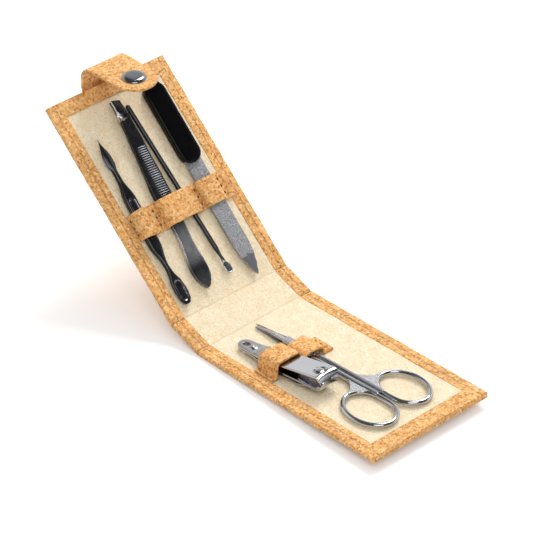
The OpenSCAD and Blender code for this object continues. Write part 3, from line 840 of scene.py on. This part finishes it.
def makeBand(name, strip, columns, rows):
    x0, x1, tilt = strip["from"], strip["to"], strip["tilt"]
    line = evenly(roundedPath(strip["path"], band["corner"]), columns)
    piece = addGrid(name, columns, rows)

    def lay(p):
        q = line[round((p.x + 0.5) * columns)]
        x = x0 + (p.y + 0.5) * (x1 - x0)
        edge = smooth(0.35, 0.5, abs(p.y))
        x += corkWave(Vector((q.x, x0, 0)), 6, band["edgeWave"]) * edge * math.copysign(1, p.y)
        lean = tilt * (x - (x0 + x1) / 2) * smooth(4.4, 6.5, q.y)
        wave = corkWave(Vector((x, q.x, 3)), 5, band["wave"])
        return Vector((x, q.x, case["liningTop"] + q.y + lean + wave))
    shapeBy(piece, lay)
    piece.data.flip_normals()
    applyModifier(piece, "SOLIDIFY", thickness=strip["thickness"], offset=1)
    roundEdges(piece, band["edge"], 2, 60)
    return piece


# mm; the height is above the lining
stitch = {"length": 1.6, "radius": 0.42, "pitch": 3.6, "height": 1.0}


def flatStitches(name, strip):
    # one waxed stitch, copied to each place along the strip's rows
    length, radius, pitch = stitch["length"], stitch["radius"], stitch["pitch"]
    count = int((strip["to"] - strip["from"]) / pitch)
    middle = (strip["from"] + strip["to"]) / 2
    places = [(middle + (i - (count - 1) / 2) * pitch, y, case["liningTop"] + stitch["height"])
              for y in strip["stitchRows"] for i in range(count)]
    first = loft(name, steps(-1, 1, 8), 8, lambda t, a: Vector((
        t * length / 2, radius * math.sqrt(max(1 - t * t, 0)) * math.cos(a),
        0.7 * radius * math.sqrt(max(1 - t * t, 0)) * math.sin(a) + 0.25 * radius * (1 - t * t))))
    copies = [first]
    for place in places[1:]:
        copy = first.copy()
        copy.data = first.data.copy()
        bpy.context.collection.objects.link(copy)
        shapeBy(copy, lambda p: p + Vector(place))
        copies.append(copy)
    shapeBy(first, lambda p: p + Vector(places[0]))
    return joinPieces(name, copies)


# the strip over the scissors and the clipper
toolLoop = {
    "from": 30.3, "to": 42.7, "thickness": 1.0,
    "path": [(-27.8, 0), (-24.65, 0), (-24.1, 6.3), (-23.0, 7.45), (-11.9, 7.45), (-10.7, 6.3), (-10.3, 0),
             (-7.4, 0), (-7.0, 3.2), (-5.6, 4.35), (1.7, 4.35), (3.1, 3.2), (3.5, 0), (9.5, 0)],
    "stitchRows": (-26.5, -8.9, 7.6),
    "tilt": 0.055,           # the roof over the clipper follows its rising arms
}
loopBand = makeBand("loop strip", toolLoop, 130, 22)
placePiece(loopBand, onLower, smoothAngle=50)
dress(loopBand, corkBand, "cork", "tool_loop")
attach(loopBand, "lower_panel")
loopThread = flatStitches("loop stitches", toolLoop)
placePiece(loopThread, onLower)
dress(loopThread, tanThread, "thread", "loop_stitches")
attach(loopThread, "lower_panel")

# the strip over the four upper tools
holder = {
    "from": 40.5, "to": 54.0, "thickness": 1.0,
    "path": [(-27.8, 0), (-26.7, 0), (-26.3, 2.65), (-25.4, 3.65), (-20.6, 3.65), (-19.6, 2.65), (-19.2, 0),
             (-11.75, 0), (-11.4, 2.6), (-10.4, 3.85), (-1.4, 3.85), (4.3, 3.3), (6.5, 2.4), (9.0, 0),
             (13.0, 0), (13.2, 2.25), (13.8, 2.65), (22.5, 2.65), (23.1, 2.25), (23.4, 0), (27.2, 0),
             (28.4, 0.5), (30.3, 0.5)],
    "stitchRows": (-27.6, -14.3, 11.1, 25.4),
    "tilt": 0.0,
}
holderBand = makeBand("holder strip", holder, 170, 24)
placePiece(holderBand, onUpper, mirrored=True, smoothAngle=50)
dress(holderBand, corkBand, "cork", "holder_strap")
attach(holderBand, "upper_panel")
holderThread = flatStitches("holder stitches", holder)
placePiece(holderThread, onUpper, mirrored=True)
dress(holderThread, thread, "thread", "holder_stitches")
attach(holderThread, "upper_panel")
print("tool strips sewn down")


# closing strap: sewn to the back, over the top edge, and forward to the snap
closing = {
    "width": 21.5, "thickness": 1.2, "middle": -1.0, "anchorFrom": 81.2, "stand": 6.6, "bendRadius": 7.0,
    "capReach": 25.0, "softCorner": 2.2, "wave": 0.15,
    "swingFrom": 1.2, "swingTo": 1.6,   # it swings between these places, below and above the top edge
}
strapPivot = hinges["strap_swing"]


def strapLine():
    # middle line (x, z) from the anchor's end to the cap's centre
    start = onUpper((closing["anchorFrom"], 0, -closing["thickness"] / 2))
    top = strapPivot.z + closing["stand"]
    corner = Vector((strapPivot.x, strapPivot.z))
    soft = closing["softCorner"]
    below = Vector((start.x, start.z))
    into = (below - corner).normalized() * soft + corner
    up = corner + Vector((0, soft))
    bend = [(1 - t) ** 2 * into + 2 * t * (1 - t) * corner + t * t * up for t in steps(0, 1, 8)]
    r = closing["bendRadius"]
    arch = [Vector((strapPivot.x + r - r * math.cos(a), top + r * math.sin(a)))
            for a in steps(0, math.pi / 2, 16)]
    return [below] + bend + arch + [Vector((strapPivot.x + closing["capReach"], top + r))]


def makeStrap():
    columns, tip = 110, 14
    line = evenly(strapLine(), columns)
    half = closing["width"] / 2
    strap = addGrid("closing strap ribbon", columns + tip, 24)

    def lay(p):
        k = round((p.x + 0.5) * (columns + tip))
        y = p.y * 2 * half
        if k <= columns:
            q = line[k]
            return Vector((q.x, closing["middle"] + y, q.y))
        reach = (k - columns) / tip * math.sqrt(max(half * half - y * y, 0))
        return Vector((line[-1].x + reach, closing["middle"] + y, line[-1].y))
    shapeBy(strap, lay)
    inEditMode(strap, lambda: bpy.ops.mesh.remove_doubles(threshold=1e-3))
    applyModifier(strap, "SOLIDIFY", thickness=closing["thickness"], offset=0)
    roundEdges(strap, 0.25, 3, 60)
    shapeBy(strap, lambda p: p + Vector((0, 0, corkWave(p, 8, closing["wave"]))))
    return placePiece(strap, lambda p: p, smoothAngle=50)


strapRibbon = makeStrap()
dress(strapRibbon, cork, "cork", "closing_strap", "strap_anchor")
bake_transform(strapRibbon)


def lathe(name, profile, around=64):
    return loft(name, profile, around, lambda q, a: Vector((q[1] * math.cos(a), q[1] * math.sin(a), q[0])))


# the snap's cap: heights are from the middle of the strap
snap = {"width": 11.6, "post": 1.4, "postEnd": -2.0, "under": 0.45, "rim": 0.85, "top": 2.1}
capCentre = Vector((strapPivot.x + closing["capReach"], closing["middle"],
                    strapPivot.z + closing["stand"] + closing["bendRadius"]))
capRadius = snap["width"] / 2
snapCap = lathe("snap cap dome", [
    (snap["postEnd"], 0), (snap["postEnd"], snap["post"]), (snap["under"], snap["post"] + 0.02),
    (snap["under"], capRadius - 0.35), (0.62, capRadius - 0.05), (snap["rim"], capRadius),
    (1.1, capRadius - 0.1), (1.5, capRadius - 0.55), (1.85, capRadius - 1.15), (2.02, capRadius - 1.7),
    (2.08, capRadius - 2.4), (snap["top"], 1.5), (snap["top"], 0)])
placePiece(snapCap, lambda p: p + capCentre, smoothAngle=35)
dress(snapCap, gunmetal, "snap_metal", "snap_cap")
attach(snapCap, "closing_strap")
print("closing strap and its snap made")

toolFloor = case["liningTop"] + case["toolGap"]


def onTool(panel, place, turn):
    # from a tool's own millimetres to the panel it lies on
    c, s = math.cos(math.radians(turn)), math.sin(math.radians(turn))
    return lambda p: panel((place[0] + p[0] * c - p[1] * s, place[1] + p[0] * s + p[1] * c, toolFloor + p[2]))


# cuticle pusher: spear, necks, grooved grip and hollowed spade
pusher = {
    "place": (5.5, -24.4), "turn": 2.1, "length": 86.4, "level": 1.5,
    "width": [(0, 1.0), (0.7, 2.0), (2.5, 2.9), (6, 3.3), (9.5, 3.1), (17, 1.3), (20, 1.2), (32, 3.0),
              (54, 3.0), (65, 1.4), (68.5, 1.35), (74, 2.4), (76, 2.35), (86.4, 0.12)],
    "thick": [(0, 0.45), (8, 0.85), (18, 1.25), (31, 1.5), (56, 1.5), (67, 1.25), (75, 0.95),
              (86.4, 0.15)],
    "power": [(14, 0.5), (20, 0.9), (31, 0.42), (56, 0.42), (66, 0.9), (73, 1.5), (86.4, 1.5)],
    "groove": {"from": 33.5, "to": 55.0, "half": 1.75, "depth": 0.55},
    "hollow": {"from": 1.6, "to": 12.0, "half": 2.1, "depth": 0.55},
    "spadeShift": 0.8,
}


def dip(x, y, cut):
    # how deep a round-ended recess is at a place
    half = cut["half"]
    nearest = min(max(x, cut["from"] + half), cut["to"] - half)
    away = math.hypot(x - nearest, y)
    return cut["depth"] * (1 - smooth(half - 0.45, half, away))


def pusherSkin(x, angle):
    half, high = ease(pusher["width"], x), ease(pusher["thick"], x)
    y, z = boxy(angle, half, high, ease(pusher["power"], x))
    if z > 0:
        z -= dip(x, y, pusher["groove"]) + dip(x, y, pusher["hollow"])
    return Vector((x, y + pusher["spadeShift"] * (1 - smooth(4, 22, x)), pusher["level"] + z))


pusherPiece = loft("cuticle pusher shape", steps(0, pusher["length"], 190), 56, pusherSkin)


def paintedRimHighlights(p):
    # painted highlights: bright lines on the rims of the hollow and the groove
    hollow = 0.02 < dip(p.x, p.y - pusher["spadeShift"], pusher["hollow"]) < 0.45
    groove = 0.02 < dip(p.x, p.y, pusher["groove"]) < 0.45
    return max(0.5 if hollow else 0.0, 0.3 if groove else 0.0)


storeAlong(pusherPiece, "painted_highlight", paintedRimHighlights)
placePiece(pusherPiece, onTool(onUpper, pusher["place"], pusher["turn"]), mirrored=True, smoothAngle=30)
dress(pusherPiece, blackSteel, "black_steel", "cuticle_pusher")
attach(pusherPiece, "cuticle_pusher")


# tweezers: two sprung arms, slanted tips and a ribbed grip
tweezers = {
    "place": (7.7, -8.6), "turn": 3.2, "length": 97.3, "thickness": 1.0, "leaf": 14.0, "rise": 0.018,
    "width": [(0, 0.3), (1.2, 1.6), (3, 2.9), (5.5, 4.05), (9, 4.5), (13, 4.4), (18, 3.75), (24, 3.25),
              (33, 3.5), (46, 4.6), (56, 4.5), (72, 3.75), (86, 3.0), (97.3, 2.45)],
    "edge": 0.24,            # lower is squarer
    "tipHalf": 2.4, "slant": 12.0, "bevel": 8.2, "bevelSlope": 0.11,
    "flank": (87.3, 92.4), "flankReach": 3.3,
    "ribs": {"from": 47.0, "to": 72.5, "pitch": 1.12, "height": 0.18},
}


def tweezersPlace(x, y):
    # the tip's end is cut on a slant, longest at the left edge
    back = math.tan(math.radians(tweezers["slant"])) * (y + tweezers["tipHalf"])
    return x - back * smooth(tweezers["length"] - 9, tweezers["length"], x)


def sideways(x):
    # the arms aren't quite straight: how far their middle lies aside
    return 0.5 * smooth(62, 82, x) * (1 - smooth(92, 98, x)) - 0.6 * (1 - smooth(10, 30, x))


def backArmSkin(x, angle):
    narrowing = 0.5 * smooth(50, 60, x)
    half, t = ease(tweezers["width"], x) - narrowing, tweezers["thickness"]
    y, z = boxy(angle, half, t / 2, tweezers["edge"])
    top = (t + 0.02) if z > 0 and x < tweezers["leaf"] - 0.09 else 0
    return Vector((tweezersPlace(x, y), y + sideways(x) + narrowing, t / 2 + z + top))


def flankDepth(x, y):
    # the ground triangle on the left edge behind the tip: its width narrows towards the tip
    near, far = tweezers["flank"]
    reach = tweezers["flankReach"] * min((far - x) / (far - near), (x - near + 0.7) / 0.7)
    return max(reach - (y + ease(tweezers["width"], x)), 0)


def ribWave(x, y):
    ribs, half = tweezers["ribs"], ease(tweezers["width"], x)
    wave = max(math.sin(math.tau * x / ribs["pitch"]), -0.2)
    across = smooth(-half * 0.25, -half * 0.15, y) * (1 - smooth(half * 0.78, half * 0.86, y))
    along = smooth(ribs["from"], ribs["from"] + 0.5, x) * (1 - smooth(ribs["to"] - 0.5, ribs["to"], x))
    return wave * across * along


def frontArmSkin(x, angle):
    t, half = tweezers["thickness"], ease(tweezers["width"], x)
    y, z = boxy(angle, half, t / 2, tweezers["edge"])
    lift = t + 0.05 + tweezers["rise"] * max(x - tweezers["leaf"], 0)
    lift -= 0.3 * (1 - smooth(tweezers["leaf"] - 1.5, tweezers["leaf"] - 1.0, x))
    if z > 0:
        z += tweezers["ribs"]["height"] * ribWave(x, y)
        tip = tweezers["tipHalf"]
        beyond = x - (tweezers["length"] - (y + tip) * tweezers["bevel"] / (2 * tip))
        z -= min(max(beyond, 0) * tweezers["bevelSlope"], 0.75 * t)
        z -= min(0.5 * flankDepth(x, y), 0.85 * t)
    return Vector((tweezersPlace(x, y), y + sideways(x), t / 2 + lift + z))


def paintedSteelHighlights(p):
    # painted highlights: the leaf, the ribs' crests, the ground facet by the tip and a thin line along the tip's
    # left edge
    x, y = p.x, p.y - sideways(p.x)
    half = ease(tweezers["width"], x)
    leaf = 0.85 * smooth(9, 18, x) * (1 - smooth(23, 36, x)) + 0.2 * (1 - smooth(3, 12, x))
    crest = 0.09 * smooth(0.5, 0.9, ribWave(x, y))
    facet = smooth(0.05, 0.3, flankDepth(x, y))
    rim = smooth(91, 92.5, x) * (1 - smooth(0.25, 0.4, y + half))
    return max(leaf, crest, facet, rim)


leafEnd = tweezers["leaf"] - 0.1
backStations = steps(0, leafEnd, 60) + steps(leafEnd + 0.02, tweezers["length"], 90)
backArm = loft("tweezers back arm shape", backStations, 56, backArmSkin)
ribFrom, ribTo = tweezers["ribs"]["from"], tweezers["ribs"]["to"]
frontStations = steps(leafEnd - 1.8, 14, 14) + steps(14.5, ribFrom - 0.2, 34) + steps(ribFrom, ribTo, 230)[1:]
frontStations += steps(ribTo + 0.3, 86.2, 14) + steps(86.5, tweezers["length"], 50)
frontArm = loft("tweezers front arm shape", frontStations, 72, frontArmSkin)
for arm, node, body in ((backArm, "tweezers_back_arm", "tweezers"),
                        (frontArm, "tweezers_front_arm", "tweezers_front_arm")):
    # painted highlights on each arm
    storeAlong(arm, "painted_highlight", paintedSteelHighlights)
    placePiece(arm, onTool(onUpper, tweezers["place"], tweezers["turn"]), mirrored=True, smoothAngle=32)
    dress(arm, ribbedSteel if arm is frontArm else blackSteel, "black_steel", node)
    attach(arm, body)


# ear pick: a drawn rod ending in a small scoop
earPick = {
    "place": (9.0, 5.3), "turn": -1.8, "length": 91.5, "radius": 1.15,
    "width": [(0, 0.5), (0.5, 1.3), (1.4, 1.95), (3.2, 2.0), (6.2, 0.95), (9, 0.7), (14, 1.15)],
    "thick": [(0, 0.3), (2, 0.5), (6, 0.6), (10, 0.8), (14, 1.15)],
    "scoop": {"from": 0.5, "to": 6.0, "half": 1.6, "depth": 0.8}, "scoopRise": 0.35,
}


def earPickSkin(x, angle):
    r = earPick["radius"]
    end = math.sqrt(max(1 - max(0, (x - earPick["length"] + r) / r) ** 2, 0.0004))
    y, z = boxy(angle, ease(earPick["width"], x) * end, ease(earPick["thick"], x) * end, 1.0)
    if z > -0.1:
        z -= dip(x, y, earPick["scoop"])
    return Vector((x, y, r + z + earPick["scoopRise"] * (1 - smooth(2, 9, x))))


rodEnd = earPick["length"]
pickStations = steps(0, 14, 60) + steps(14.5, rodEnd - 1.2, 40) + steps(rodEnd - 1.1, rodEnd, 8)
pickPiece = loft("ear pick shape", pickStations, 32, earPickSkin)
# painted highlight over the scoop, held lower in its hollow
storeAlong(pickPiece, "painted_highlight", lambda p: (1 - smooth(5.5, 7.5, p.x))
           * (0.35 if dip(p.x, p.y, earPick["scoop"]) > 0.3 else 1.0))
placePiece(pickPiece, onTool(onUpper, earPick["place"], earPick["turn"]), mirrored=True, smoothAngle=40)
dress(pickPiece, blackSteel, "black_steel", "ear_pick")
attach(pickPiece, "ear_pick")


# nail file: a gritted blade in a pill-shaped handle
nailFile = {
    "place": (2.8, 17.7), "turn": 0.6, "length": 102.5,
    "handleLength": 43.0, "handleWidth": 11.6, "handleLow": 0.0, "handleHigh": 4.1,
    "blade": [(0, 0.15), (2, 1.2), (6, 2.75), (11, 4.0), (16, 4.5)],
    "bladeLow": 1.0, "bladeThick": 1.0, "bladeEnd": 70,
    "bare": 11.0,            # the grit starts this far from the tip
}
handleStart = nailFile["length"] - nailFile["handleLength"]


def bladeSkin(x, angle):
    y, z = boxy(angle, ease(nailFile["blade"], x), nailFile["bladeThick"] / 2, 0.16)
    return Vector((x, y, nailFile["bladeLow"] + nailFile["bladeThick"] / 2 + z))


def handleSkin(x, angle):
    r = nailFile["handleWidth"] / 2
    inset = min(x - handleStart, nailFile["length"] - x)
    half = r if inset >= r else math.sqrt(max(r * r - (r - inset) ** 2, 0.02))
    high = (nailFile["handleHigh"] - nailFile["handleLow"]) / 2
    y, z = boxy(angle, half, high * (0.72 + 0.28 * smooth(0, 1.6, inset)), 0.34)
    return Vector((x, y, nailFile["handleLow"] + high + z))


bladePiece = loft("file blade shape", steps(0, nailFile["bladeEnd"], 90), 40, bladeSkin)
storeAlong(bladePiece, "bare", lambda p: 1 - smooth(nailFile["bare"] - 0.4, nailFile["bare"] + 0.4,
                                                    p.x + 0.35 * abs(p.y)))
handleStations = steps(handleStart, handleStart + 6, 26) + steps(handleStart + 7, nailFile["length"] - 7, 12)
handleStations += steps(nailFile["length"] - 6, nailFile["length"], 26)
handlePiece = loft("file handle shape", handleStations, 56, handleSkin)
for piece, node, look, slotName in ((bladePiece, "file_blade", grit, "file_grit"),
                                    (handlePiece, "file_handle", plastic, "handle_plastic")):
    placePiece(piece, onTool(onUpper, nailFile["place"], nailFile["turn"]), mirrored=True, smoothAngle=35)
    dress(piece, look, slotName, node)
    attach(piece, "nail_file")
print("upper tools made")

# nail clipper: two arms riveted at the tail, a pin through the jaws and the lever beneath
clipper = {
    "place": (11.2, -18.8), "turn": 3.1, "length": 55.5, "thickness": 1.0,
    "width": [(0, 0.6), (0.5, 1.9), (1.2, 2.7), (2.6, 3.35), (4.5, 3.7), (24, 6.0), (55.5, 6.0)],
    "jawLow": 0.6, "jawRise": 0.052, "gap": 0.13, "baseRise": 0.175, "bend": 11.5,
    "rivet": 9.0, "jawGap": 1.5, "hollow": 0.95,
    "tailHole": {"at": 4.3, "long": 2.1, "wide": 1.45},
    "roll": 3.5, "rollDrop": 1.9,        # the base arm's front end
    "eye": 2.9, "pin": 1.5, "pinHead": 2.3, "pinFromFront": 5.6,
    "lever": [(17, 0.4), (17.3, 1.5), (18.2, 3.2), (20, 4.7), (24, 5.25), (46, 5.25), (50.5, 4.6),
              (52.3, 3.2), (52.5, 1.0)],
    "leverLow": 0.2, "leverThick": 0.9,
}
pinAt = clipper["length"] - clipper["pinFromFront"]


def jawUnder(x):
    return clipper["jawLow"] + clipper["jawRise"] * x


def jawTop(x):
    return jawUnder(x) + clipper["thickness"]


def baseUnder(x):
    opening = max(x - clipper["bend"], 0) * (clipper["baseRise"] - clipper["jawRise"])
    return jawTop(x) + clipper["gap"] + opening


jawEdge = (baseUnder(clipper["length"]) + jawTop(clipper["length"])) / 2
onClipper = onTool(onLower, clipper["place"], clipper["turn"])


def clipperArm(name, under, over):
    # a flat arm whose front edge is hollowed to match a finger's nail
    length = clipper["length"]

    def skin(x, angle):
        half = ease(clipper["width"], x)
        low, high = under(x), over(x)
        y, z = boxy(angle, half, (high - low) / 2, 0.2)
        back = clipper["hollow"] * (1 - (y / 6) ** 2) * smooth(length - 9, length, x)
        return Vector((x - back, y, (low + high) / 2 + z))
    stations = steps(0, 6, 30) + steps(6.5, length - 8, 50) + steps(length - 7.6, length + 0.3, 60)
    arm = loft(name, stations, 64, skin)
    hole = clipper["tailHole"]
    tear = addDisc(name + " tail hole", 1, -1, 20, 40)
    shapeBy(tear, lambda p: Vector((hole["at"] + hole["long"] * p.x,
                                    hole["wide"] * p.y * (1 - 0.18 * p.x), p.z)))
    cutHole(arm, tear)
    return arm


def bentDown(x):
    # the base arm's top rolls over at the front and ends in the upper jaw
    reach = min(max((x - clipper["length"] + clipper["roll"] - 0.3) / clipper["roll"], 0), 1)
    flat = baseUnder(min(x, clipper["length"] - 0.6)) + clipper["thickness"]
    return flat - clipper["rollDrop"] * (1 - math.sqrt(max(1 - reach * reach, 0)))


front = clipper["length"] - 1.5
upperJaw = jawEdge + clipper["jawGap"] / 2
lowerJaw = jawEdge - clipper["jawGap"] / 2


def upperJawUnder(x):
    return baseUnder(x) + (upperJaw - baseUnder(x)) * smooth(front - 0.7, front + 0.4, x)


def lowerJawUnder(x):
    return jawUnder(x) + 0.9 * max(x - clipper["length"] + 1.4, 0) / 1.7


def lowerJawTop(x):
    return jawTop(x) + (lowerJaw - jawTop(x)) * smooth(front - 0.6, front + 0.3, x)


baseArm = clipperArm("clipper base arm", upperJawUnder, bentDown)
jawArm = clipperArm("clipper jaw arm", lowerJawUnder, lowerJawTop)
eyeEdge = baseUnder(pinAt)
eye = lathe("clipper eye", [
    (3, 0), (3, clipper["eye"]), (eyeEdge + 0.55, clipper["eye"]), (eyeEdge + 1.9, clipper["eye"] + 1.35),
    (20, clipper["eye"] + 1.4), (20, 0)])
shapeBy(eye, lambda p: p + Vector((pinAt, 0, 0)))
cutHole(baseArm, eye)
pinPiece = lathe("clipper pin", [
    (-0.55, 0), (-0.55, 1.9), (-0.35, 2.25), (1.4, 2.25), (1.6, clipper["pin"]),
    (eyeEdge + 0.1, clipper["pin"]), (eyeEdge + 0.3, clipper["pinHead"]),
    (eyeEdge + 0.75, clipper["pinHead"]), (eyeEdge + 1.0, clipper["pinHead"] - 0.35),
    (eyeEdge + 1.1, 1.0), (eyeEdge + 1.1, 0)])
# its foot is held by the lever, its head lies in the eye
shapeBy(pinPiece, lambda p: p + Vector((pinAt, 0, 0.75)) if p.z < 2 else p + Vector((pinAt, 0, 0)))
rivetTop = jawTop(clipper["rivet"]) + clipper["gap"] + clipper["thickness"]
rivetFoot = jawUnder(clipper["rivet"])
rivetPiece = lathe("clipper rivet", [
    (rivetFoot - 0.6, 0), (rivetFoot - 0.6, 1.4), (rivetFoot - 0.1, 1.7), (rivetFoot - 0.1, 1.0),
    (rivetTop + 0.08, 1.0), (rivetTop + 0.08, 1.7), (rivetTop + 0.3, 1.6), (rivetTop + 0.45, 1.25),
    (rivetTop + 0.5, 0.75), (rivetTop + 0.32, 0.45), (rivetTop + 0.3, 0)])
shapeBy(rivetPiece, lambda p: p + Vector((clipper["rivet"], 0, 0)))


def leverSkin(x, angle):
    # a flat bar under the arms, dished a little and rising to the pin
    low, thick = clipper["leverLow"], clipper["leverThick"]
    y, z = boxy(angle, ease(clipper["lever"], x), thick / 2, 0.35)
    rise = (jawUnder(pinAt) - 1.15 - low) * smooth(pinAt - 10, pinAt - 2, x)
    return Vector((x, y, low + thick / 2 + rise + z + 0.25 * math.cos(angle) ** 2 * smooth(20, 26, x)))


leverStations = steps(17, 20, 16) + steps(20.5, 50, 60) + steps(50.2, 52.5, 16)
leverPiece = loft("clipper lever", leverStations, 56, leverSkin)
for piece, node, body in ((baseArm, "clipper_base_arm", "clipper_base_arm"),
                          (jawArm, "clipper_jaw_arm", "clipper"), (leverPiece, "clipper_lever", "clipper"),
                          (pinPiece, "clipper_pin", "clipper"), (rivetPiece, "clipper_rivet", "clipper")):
    if piece in (baseArm, jawArm):
        storeAlong(piece, "brushed", lambda p: 0.45 * (1 - smooth(14, 26, p.x)))
    placePiece(piece, onClipper, smoothAngle=32)
    dress(piece, chrome, "chrome_steel", node)
    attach(piece, body)
print("nail clipper made")


# nail scissors: two halves crossing at the screw under the loop
scissors = {
    "place": (5.1, -3.7), "turn": 1.7, "pivot": 31.0, "layer": 1.55, "full": 3.05,
    # the blade's edges to the left and right of the cutting line
    "left": [(0, 0.1), (2, 0.7), (18.4, 1.3), (19.3, 1.9), (26, 1.95)],
    "right": [(0, 0.35), (2, 0.75), (18.4, 1.75), (19.3, 2.45), (26, 2.5)],
    "bladeEnd": 18.4, "hubFrom": 26, "groundDepth": 0.5,
    "shank": (35, 79), "split": 0.15, "shankWidth": 2.9,
    # the web's outer edge, from the ring's middle
    "web": [(-31, 2.3), (-22, 2.7), (-19.5, 3.6), (-17.5, 5.0), (-15.3, 7.2), (-13.8, 9.3), (-13, 10.9)],
    "webHalfHigh": 1.0, "webCut": 0.12,
    "ringAt": 82.8, "wire": 1.2, "ringAcross": 10.9, "innerSide": 1.4,
    # each ring: place of its middle, length and width of its half, and how far it's turned
    "nearRing": (83.3, 14.1, 10.2, 6.0), "farRing": (83.0, 13.7, 9.9, -2.0),
}


def scissorBladeSkin(level):
    def skin(x, angle):
        left, right = ease(scissors["left"], x), ease(scissors["right"], x)
        if x > scissors["hubFrom"]:
            widen = smooth(26, 29.5, x) * (1 - smooth(33, 37, x))
            left, right = left + 1.2 * widen, right + 0.7 * widen
            left -= (left + 0.16) * smooth(34, 37.5, x)
        thick = 0.4 + 0.6 * smooth(0, 13, x) + 0.5 * smooth(18.5, 19.3, x)
        y, z = boxy(angle, (left + right) / 2, thick / 2, 0.22)
        if z > 0 and x < 19:
            # ground away towards the cutting edge
            across = (y + (left + right) / 2) / (left + right) * 1.3 - 0.35
            z -= scissors["groundDepth"] * smooth(0.25, 0.9, across)
        return Vector((x, y + (right - left) / 2, level + thick / 2 + z))
    return skin


def shankSkin(x, angle):
    # a half-round bar beside the split, flattening into the web
    bend = smooth(35, 38, x)
    y0, y1 = scissors["split"], scissors["shankWidth"] - 0.3 * smooth(66, 79, x)
    high = 1.3 * (0.55 + 0.45 * bend)
    y, z = boxy(angle, (y1 - y0) / 2, high, 0.62 - 0.2 * smooth(56, 66, x))
    return Vector((x, y + (y0 + y1) / 2, 1.45 + z))


def webSkin(x, angle):
    s = x - scissors["ringAt"]
    ringSide = scissors["ringAcross"] - 9.9 * math.sqrt(max(1 - (s / 13) ** 2, 0))
    outer = ease(scissors["web"], min(s, -13))
    y1 = outer if s < -13 else ringSide
    y0 = 0.2 + 0.9 * smooth(-9, -3, s)
    y, z = slab(round(angle / math.tau * 8), max(y1 - y0, 0.8) / 2, scissors["webHalfHigh"],
                scissors["webCut"])
    return Vector((x, y + (y0 + max(y1, y0 + 0.8)) / 2, 1.5 + z))


def ringLine(angle, size):
    # the wire's middle: an oval, straighter where it meets the other ring
    middle, long, wide, turned = size
    c, t = math.cos(math.radians(turned)), math.sin(math.radians(turned))
    u, v = long * math.cos(angle), wide * math.sin(angle)
    y = scissors["ringAcross"] + u * t + v * c - scissors["innerSide"]
    y = scissors["innerSide"] + 0.7 * math.log(1 + math.exp(min(y / 0.7, 60))) if y < 30 else y
    return Vector((middle + u * c - v * t, y, 0))


def addRing(name, size, rise):
    # round wire bent along that line
    clearSelection()
    thin = 0.25
    bpy.ops.mesh.primitive_torus_add(major_segments=144, minor_segments=28, major_radius=1,
                                     minor_radius=thin)
    ring = newest(name)
    r = scissors["wire"]

    def bendWire(p):
        turn = math.atan2(p.y, p.x)
        out, up = (math.hypot(p.x, p.y) - 1) / thin, p.z / thin
        ahead = (ringLine(turn + 0.01, size) - ringLine(turn - 0.01, size)).normalized()
        normal = Vector((ahead.y, -ahead.x, 0))
        return ringLine(turn, size) + normal * out * r + Vector((0, 0, r + rise + up * r))
    shapeBy(ring, bendWire)
    return ring


def brushedSteel(p):
    # the blades and the flats by the split are brushed, the rest is polished
    flat = 52 < p.x < 79 and abs(p.z - 2.5) < 0.05
    return 0.8 if p.x < scissors["hubFrom"] or flat else 0.1


def scissorHalf(name, level, ring, rise):
    end, ringAt = scissors["bladeEnd"], scissors["ringAt"]
    bladeStations = steps(0, end, 40) + steps(18.5, 19.6, 12) + steps(20, 37.5, 36)
    blade = loft(name + " blade", bladeStations, 48, scissorBladeSkin(level))
    shank = loft(name + " shank", steps(*scissors["shank"], 90), 40, shankSkin)
    webStations = steps(ringAt - 31, ringAt - 16, 30) + steps(ringAt - 15.8, ringAt - 11.5, 40)
    web = loft(name + " web", webStations + steps(ringAt - 11.2, ringAt - 3.5, 24), 8, webSkin)
    half = joinPieces(name, [blade, shank, web, addRing(name + " ring", ring, rise)])
    storeAlong(half, "brushed", brushedSteel)
    return half


nearHalf = scissorHalf("scissors near half", 0, scissors["nearRing"], 0)
farHalf = scissorHalf("scissors far half", scissors["layer"], scissors["farRing"], 0.1)
onScissors = onTool(onLower, scissors["place"], scissors["turn"])
placePiece(nearHalf, lambda p: onScissors(Vector((p.x, -p.y, p.z))), mirrored=True, smoothAngle=35)
placePiece(farHalf, onScissors, smoothAngle=35)
full = scissors["full"]
screw = lathe("scissors screw", [(0, 0), (0, 1.3), (full, 1.3), (full + 0.08, 2.5), (full + 0.3, 2.5),
                                 (full + 0.45, 2.1), (full + 0.47, 0)])
shapeBy(screw, lambda p: p + Vector((scissors["pivot"], 0, 0)))
placePiece(screw, onScissors, smoothAngle=32)
for piece, node, body in ((nearHalf, "scissors_near_half", "scissors"), (screw, "scissors_screw", "scissors"),
                          (farHalf, "scissors_far_half", "scissors_far_half")):
    dress(piece, chrome, "chrome_steel", node)
    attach(piece, body)
print("nail scissors made")
